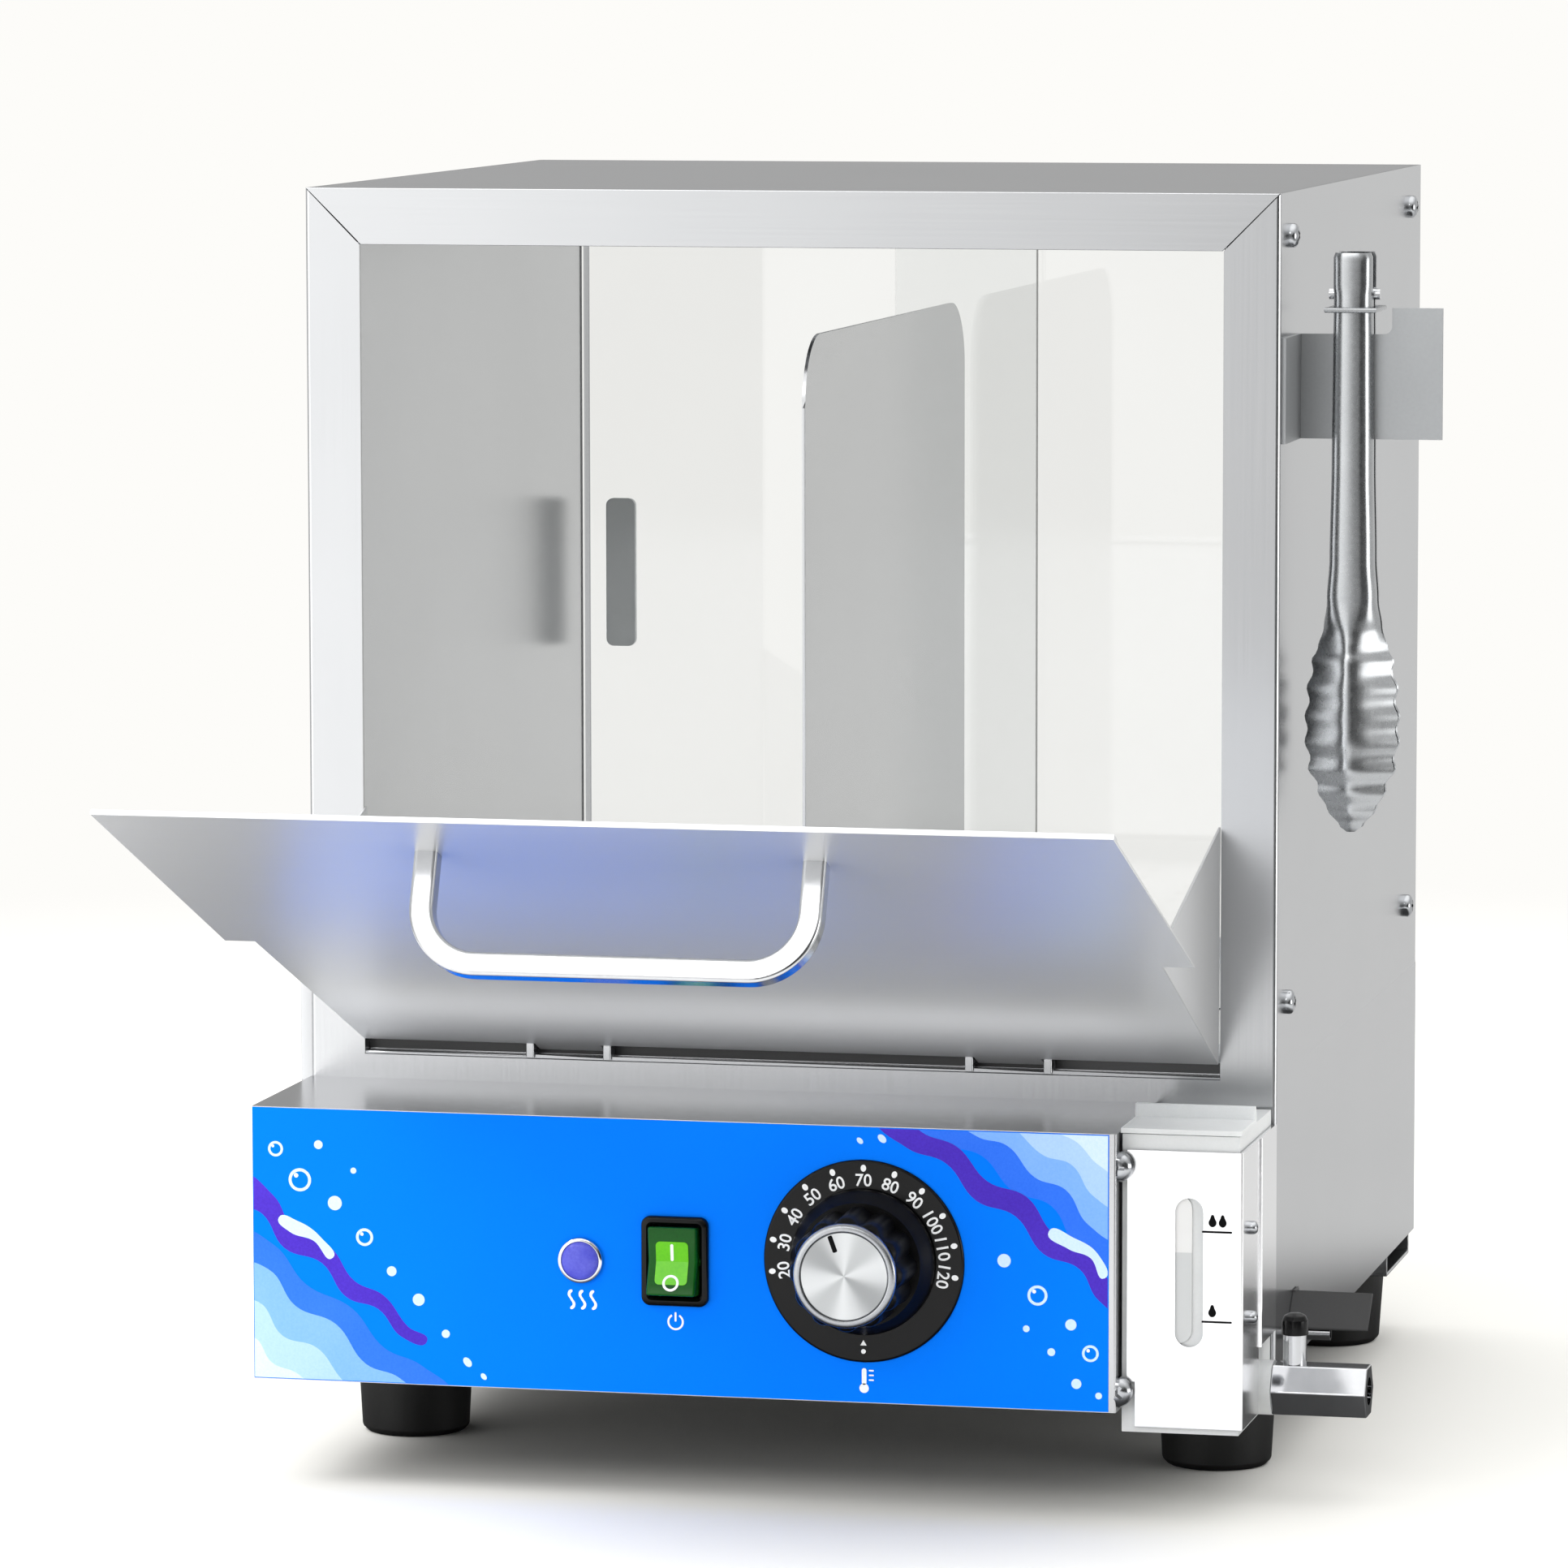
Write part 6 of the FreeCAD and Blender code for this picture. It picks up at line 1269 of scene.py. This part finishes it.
class STEAMER_OT_stage(bpy.types.Operator):
    """Pale floor, soft studio light and the camera of the main view"""

    bl_idname = "steamer.stage"
    bl_label = "Studio"

    def execute(self, context):
        scene = context.scene
        scene.view_settings.view_transform = "Standard"
        scene.view_settings.look = "None"
        self.floor(scene)
        self.world(scene)
        self.lamps()
        self.door_strip()
        self.camera(scene)
        return {"FINISHED"}

    # The floor in metres: its radius, and where it starts to fade and has faded into the wall
    floor_radius = 1.7
    fade_start = 0.7
    fade_end = 1.65
    cloud_scale = 1.2
    cloud_share = 0.99
    # Painted shade in the grey that bright metal mirrors of the floor: dark close to the feet and toward the
    # right front, paler in front than behind; each line has two places in metres and the shares there
    near_feet = {"From Min": 0.29, "From Max": 0.46, "To Min": 0.10, "To Max": 1.0}
    front_to_back = {"From Min": -0.6, "From Max": 0.6, "To Min": 0.95, "To Max": 0.48}
    right_front = {"From Min": 0.6, "From Max": 0.9, "To Min": 1.0, "To Max": 0.15}
    right_front_heading = (0.75, -0.66, 0.0)

    def floor(self, scene):
        """A round pale floor that fades into the wall round it; bright metal mirrors it as a grey with
        painted shade near the feet and toward the right front.
        """
        shape = bmesh.new()
        bmesh.ops.create_circle(shape, cap_ends=True, radius=self.floor_radius, segments=128)
        floor = link_object("studio_floor", mesh_of("studio_floor", shape))
        material, tree, place = empty_material("studio_paper")
        clouds = add_node(tree, "ShaderNodeTexNoise",
                          {"Vector": place, "Scale": self.cloud_scale, "Detail": 2.0})
        tone = tuple(scene.steamer_colours.floor)
        darker = (*(part * self.cloud_share for part in tone[:3]), 1.0)
        shade = add_node(tree, "ShaderNodeMix", {"Factor": clouds, "A": tone, "B": darker}, data_type="RGBA")
        far = add_node(tree, "ShaderNodeVectorMath", {0: place}, operation="LENGTH")
        near = add_node(tree, "ShaderNodeMapRange", {"Value": far, **self.near_feet},
                        interpolation_type="SMOOTHSTEP")
        parts = add_node(tree, "ShaderNodeSeparateXYZ", {"Vector": place}).outputs
        depth = add_node(tree, "ShaderNodeMapRange", {"Value": parts["Y"], **self.front_to_back})
        corner = add_node(tree, "ShaderNodeVectorMath", {0: place, 1: self.right_front_heading},
                          operation="DOT_PRODUCT")
        side = add_node(tree, "ShaderNodeMapRange", {"Value": corner, **self.right_front})
        shares = add_node(tree, "ShaderNodeMath", {0: near, 1: side}, operation="MULTIPLY")
        grey = add_node(tree, "ShaderNodeMath", {0: shares, 1: depth}, operation="MULTIPLY")
        # painted shade and reflection: glossy rays see the shaded grey, while the camera and other rays see
        # the even paper
        ray = add_node(tree, "ShaderNodeLightPath").outputs
        seen = add_node(tree, "ShaderNodeMix", {"Factor": ray["Is Glossy Ray"], "A": shade, "B": grey},
                        data_type="RGBA")
        paper = add_node(tree, "ShaderNodeBsdfPrincipled",
                         {"Base Color": seen, "Roughness": 0.9, "Specular IOR Level": 0.1})
        fade = add_node(tree, "ShaderNodeMapRange",
                        {"Value": far, "From Min": self.fade_start, "From Max": self.fade_end},
                        interpolation_type="SMOOTHSTEP")
        clear = add_node(tree, "ShaderNodeBsdfTransparent")
        mix = add_node(tree, "ShaderNodeMixShader", {0: fade, 1: paper, 2: clear})
        add_node(tree, "ShaderNodeOutputMaterial", {"Surface": mix})
        floor.data.materials.append(material)

    # Strength of the room's light, and its soft areas: their direction, the cosine where each starts and is
    # full, and what it adds
    room_strength = 0.80
    areas = (
        ((-0.62, -0.78, 0.00), 0.80, 0.97, 1.50),
        ((0.05, -0.99, -0.02), 0.91, 0.995, -0.46),
        ((0.66, -0.75, -0.06), 0.83, 0.95, -0.70),
        ((0.98, -0.18, -0.06), 0.94, 0.985, 3.80),
        ((-0.25, 0.93, 0.30), 0.88, 0.99, -0.40),
        ((0.00, 0.00, 1.00), 0.40, 0.98, 1.30),
    )

    def world(self, scene):
        """A pale room with brighter and darker areas, which give the steel its soft gradients."""
        world = bpy.data.worlds.new("studio_room")
        world.use_nodes = True
        tree = world.node_tree
        tree.nodes.clear()
        place = add_node(tree, "ShaderNodeTexCoord").outputs["Generated"]
        strength = self.room_strength
        for heading, start, stop, change in self.areas:
            facing = add_node(tree, "ShaderNodeVectorMath", {0: place, 1: Vector(heading).normalized()},
                              operation="DOT_PRODUCT")
            part = add_node(tree, "ShaderNodeMapRange",
                            {"Value": facing, "From Min": start, "From Max": stop, "To Max": change},
                            interpolation_type="SMOOTHSTEP")
            strength = add_node(tree, "ShaderNodeMath", {0: part, 1: strength}, operation="ADD")
        room = add_node(tree, "ShaderNodeBackground", {"Color": linear("#fefefd"), "Strength": strength})
        wall = add_node(tree, "ShaderNodeBackground", {"Color": linear("#fdfcf9"), "Strength": 1.0})
        ray = add_node(tree, "ShaderNodeLightPath").outputs
        straight = add_node(tree, "ShaderNodeMath",
                            {0: ray["Is Camera Ray"], 1: ray["Is Transmission Ray"]}, operation="MAXIMUM")
        mix = add_node(tree, "ShaderNodeMixShader", {0: straight, 1: room, 2: wall})
        add_node(tree, "ShaderNodeOutputWorld", {"Surface": mix})
        scene.world = world

    # The soft boxes: name, place and target, width and height in metres, and watts
    soft_boxes = (
        ("key_box", (-1.6, -1.2, 2.2), (0.0, -0.1, 0.2), 1.4, 1.4, 42.0),
        ("front_box", (-0.5, -2.6, 1.7), (0.0, 0.0, 0.2), 1.6, 0.8, 12.0),
    )

    def lamps(self):
        """Soft boxes: a large one at the upper left, and a wide one above the camera's left."""
        for name, place, target, width, height, power in self.soft_boxes:
            lamp = self.soft_box(name, width, height, power)
            lamp.location = place
            lamp.rotation_euler = (Vector(target) - Vector(place)).to_track_quat("-Z", "Y").to_euler()

    def soft_box(self, name, width, height, power):
        """A rectangle of light that the camera doesn't see."""
        light = bpy.data.lights.new(name, "AREA")
        light.shape = "RECTANGLE"
        light.size = width
        light.size_y = height
        light.energy = power
        lamp = link_object(name, light)
        lamp.visible_camera = False
        return lamp

    # The strip under the door: width and depth in metres, watts, its place, rise over the box, and tilt
    strip_size = (0.30, 0.04)
    strip_power = 0.14
    strip_forward = -0.225
    strip_rise = 2 * MM
    strip_tilt = math.radians(165)

    def door_strip(self):
        """A low strip under the open door, which lights the door alone and isn't mirrored in it."""
        strip = self.soft_box("door_strip", *self.strip_size, self.strip_power)
        strip.location = (0.0, self.strip_forward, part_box("control_box")[1].z + self.strip_rise)
        strip.rotation_euler = (self.strip_tilt, 0, 0)
        strip.visible_glossy = False
        lit = bpy.data.collections.new("lit_by_door_strip")
        lit.objects.link(bpy.data.objects["door_panel_finished"])
        strip.light_linking.receiver_collection = lit

    # The camera, fitted to the edges in the photograph: place in metres, turns in radians, focal length and
    # width of the picture in its pixels, and the sensor's width in millimetres
    camera_place = (0.6409, -2.9664, 0.5628)
    camera_yaw = 0.2256674
    camera_pitch = 0.1084302
    camera_roll = -0.0015143
    focal_pixels = 9814.57
    picture_pixels = 1932
    sensor_width = 36.0
    clip_end = 200.0

    def camera(self, scene):
        """The main view: a long lens a little above the cabinet and to its right."""
        yaw, pitch, roll = self.camera_yaw, self.camera_pitch, self.camera_roll
        forward = Vector((-math.sin(yaw) * math.cos(pitch), math.cos(yaw) * math.cos(pitch),
                          -math.sin(pitch)))
        level = Vector((math.cos(yaw), math.sin(yaw), 0))
        above = level.cross(forward)
        right = level * math.cos(roll) + above * math.sin(roll)
        above = right.cross(forward)
        lens = bpy.data.cameras.new("main_view")
        lens.sensor_width = self.sensor_width
        lens.lens = self.focal_pixels / self.picture_pixels * self.sensor_width
        lens.clip_end = self.clip_end
        camera = link_object("main_view", lens)
        turn = Matrix((right, above, -forward)).transposed().to_4x4()
        camera.matrix_world = Matrix.Translation(self.camera_place) @ turn
        scene.camera = camera


class STEAMER_PT_build(bpy.types.Panel):
    """Buttons and settings of the steamer"""

    bl_idname = "STEAMER_PT_build"
    bl_label = "Steamer"
    bl_space_type = "VIEW_3D"
    bl_region_type = "UI"
    bl_category = "Steamer"

    def draw(self, context):
        for step in STEPS:
            self.layout.operator(step.bl_idname)
        for group in (context.scene.steamer_sizes, context.scene.steamer_colours):
            box = self.layout.box()
            for name in group.__annotations__:
                box.prop(group, name)


STEPS = (
    STEAMER_OT_finishes,
    STEAMER_OT_cabinet,
    STEAMER_OT_door,
    STEAMER_OT_screws,
    STEAMER_OT_film,
    STEAMER_OT_dial,
    STEAMER_OT_switch,
    STEAMER_OT_gauge,
    STEAMER_OT_valve,
    STEAMER_OT_feet,
    STEAMER_OT_tongs,
    STEAMER_OT_stage,
)
CLASSES = (SteamerSizes, SteamerColours, *STEPS, STEAMER_PT_build)


def register():
    for item in CLASSES:
        bpy.utils.register_class(item)
    bpy.types.Scene.steamer_sizes = PointerProperty(type=SteamerSizes)
    bpy.types.Scene.steamer_colours = PointerProperty(type=SteamerColours)


def unregister():
    del bpy.types.Scene.steamer_colours
    del bpy.types.Scene.steamer_sizes
    for item in reversed(CLASSES):
        bpy.utils.unregister_class(item)


def main():
    """Build the whole steamer."""
    register()
    for step in STEPS:
        group, name = step.bl_idname.split(".")
        getattr(getattr(bpy.ops, group), name)()


if __name__ == "__main__":
    main()
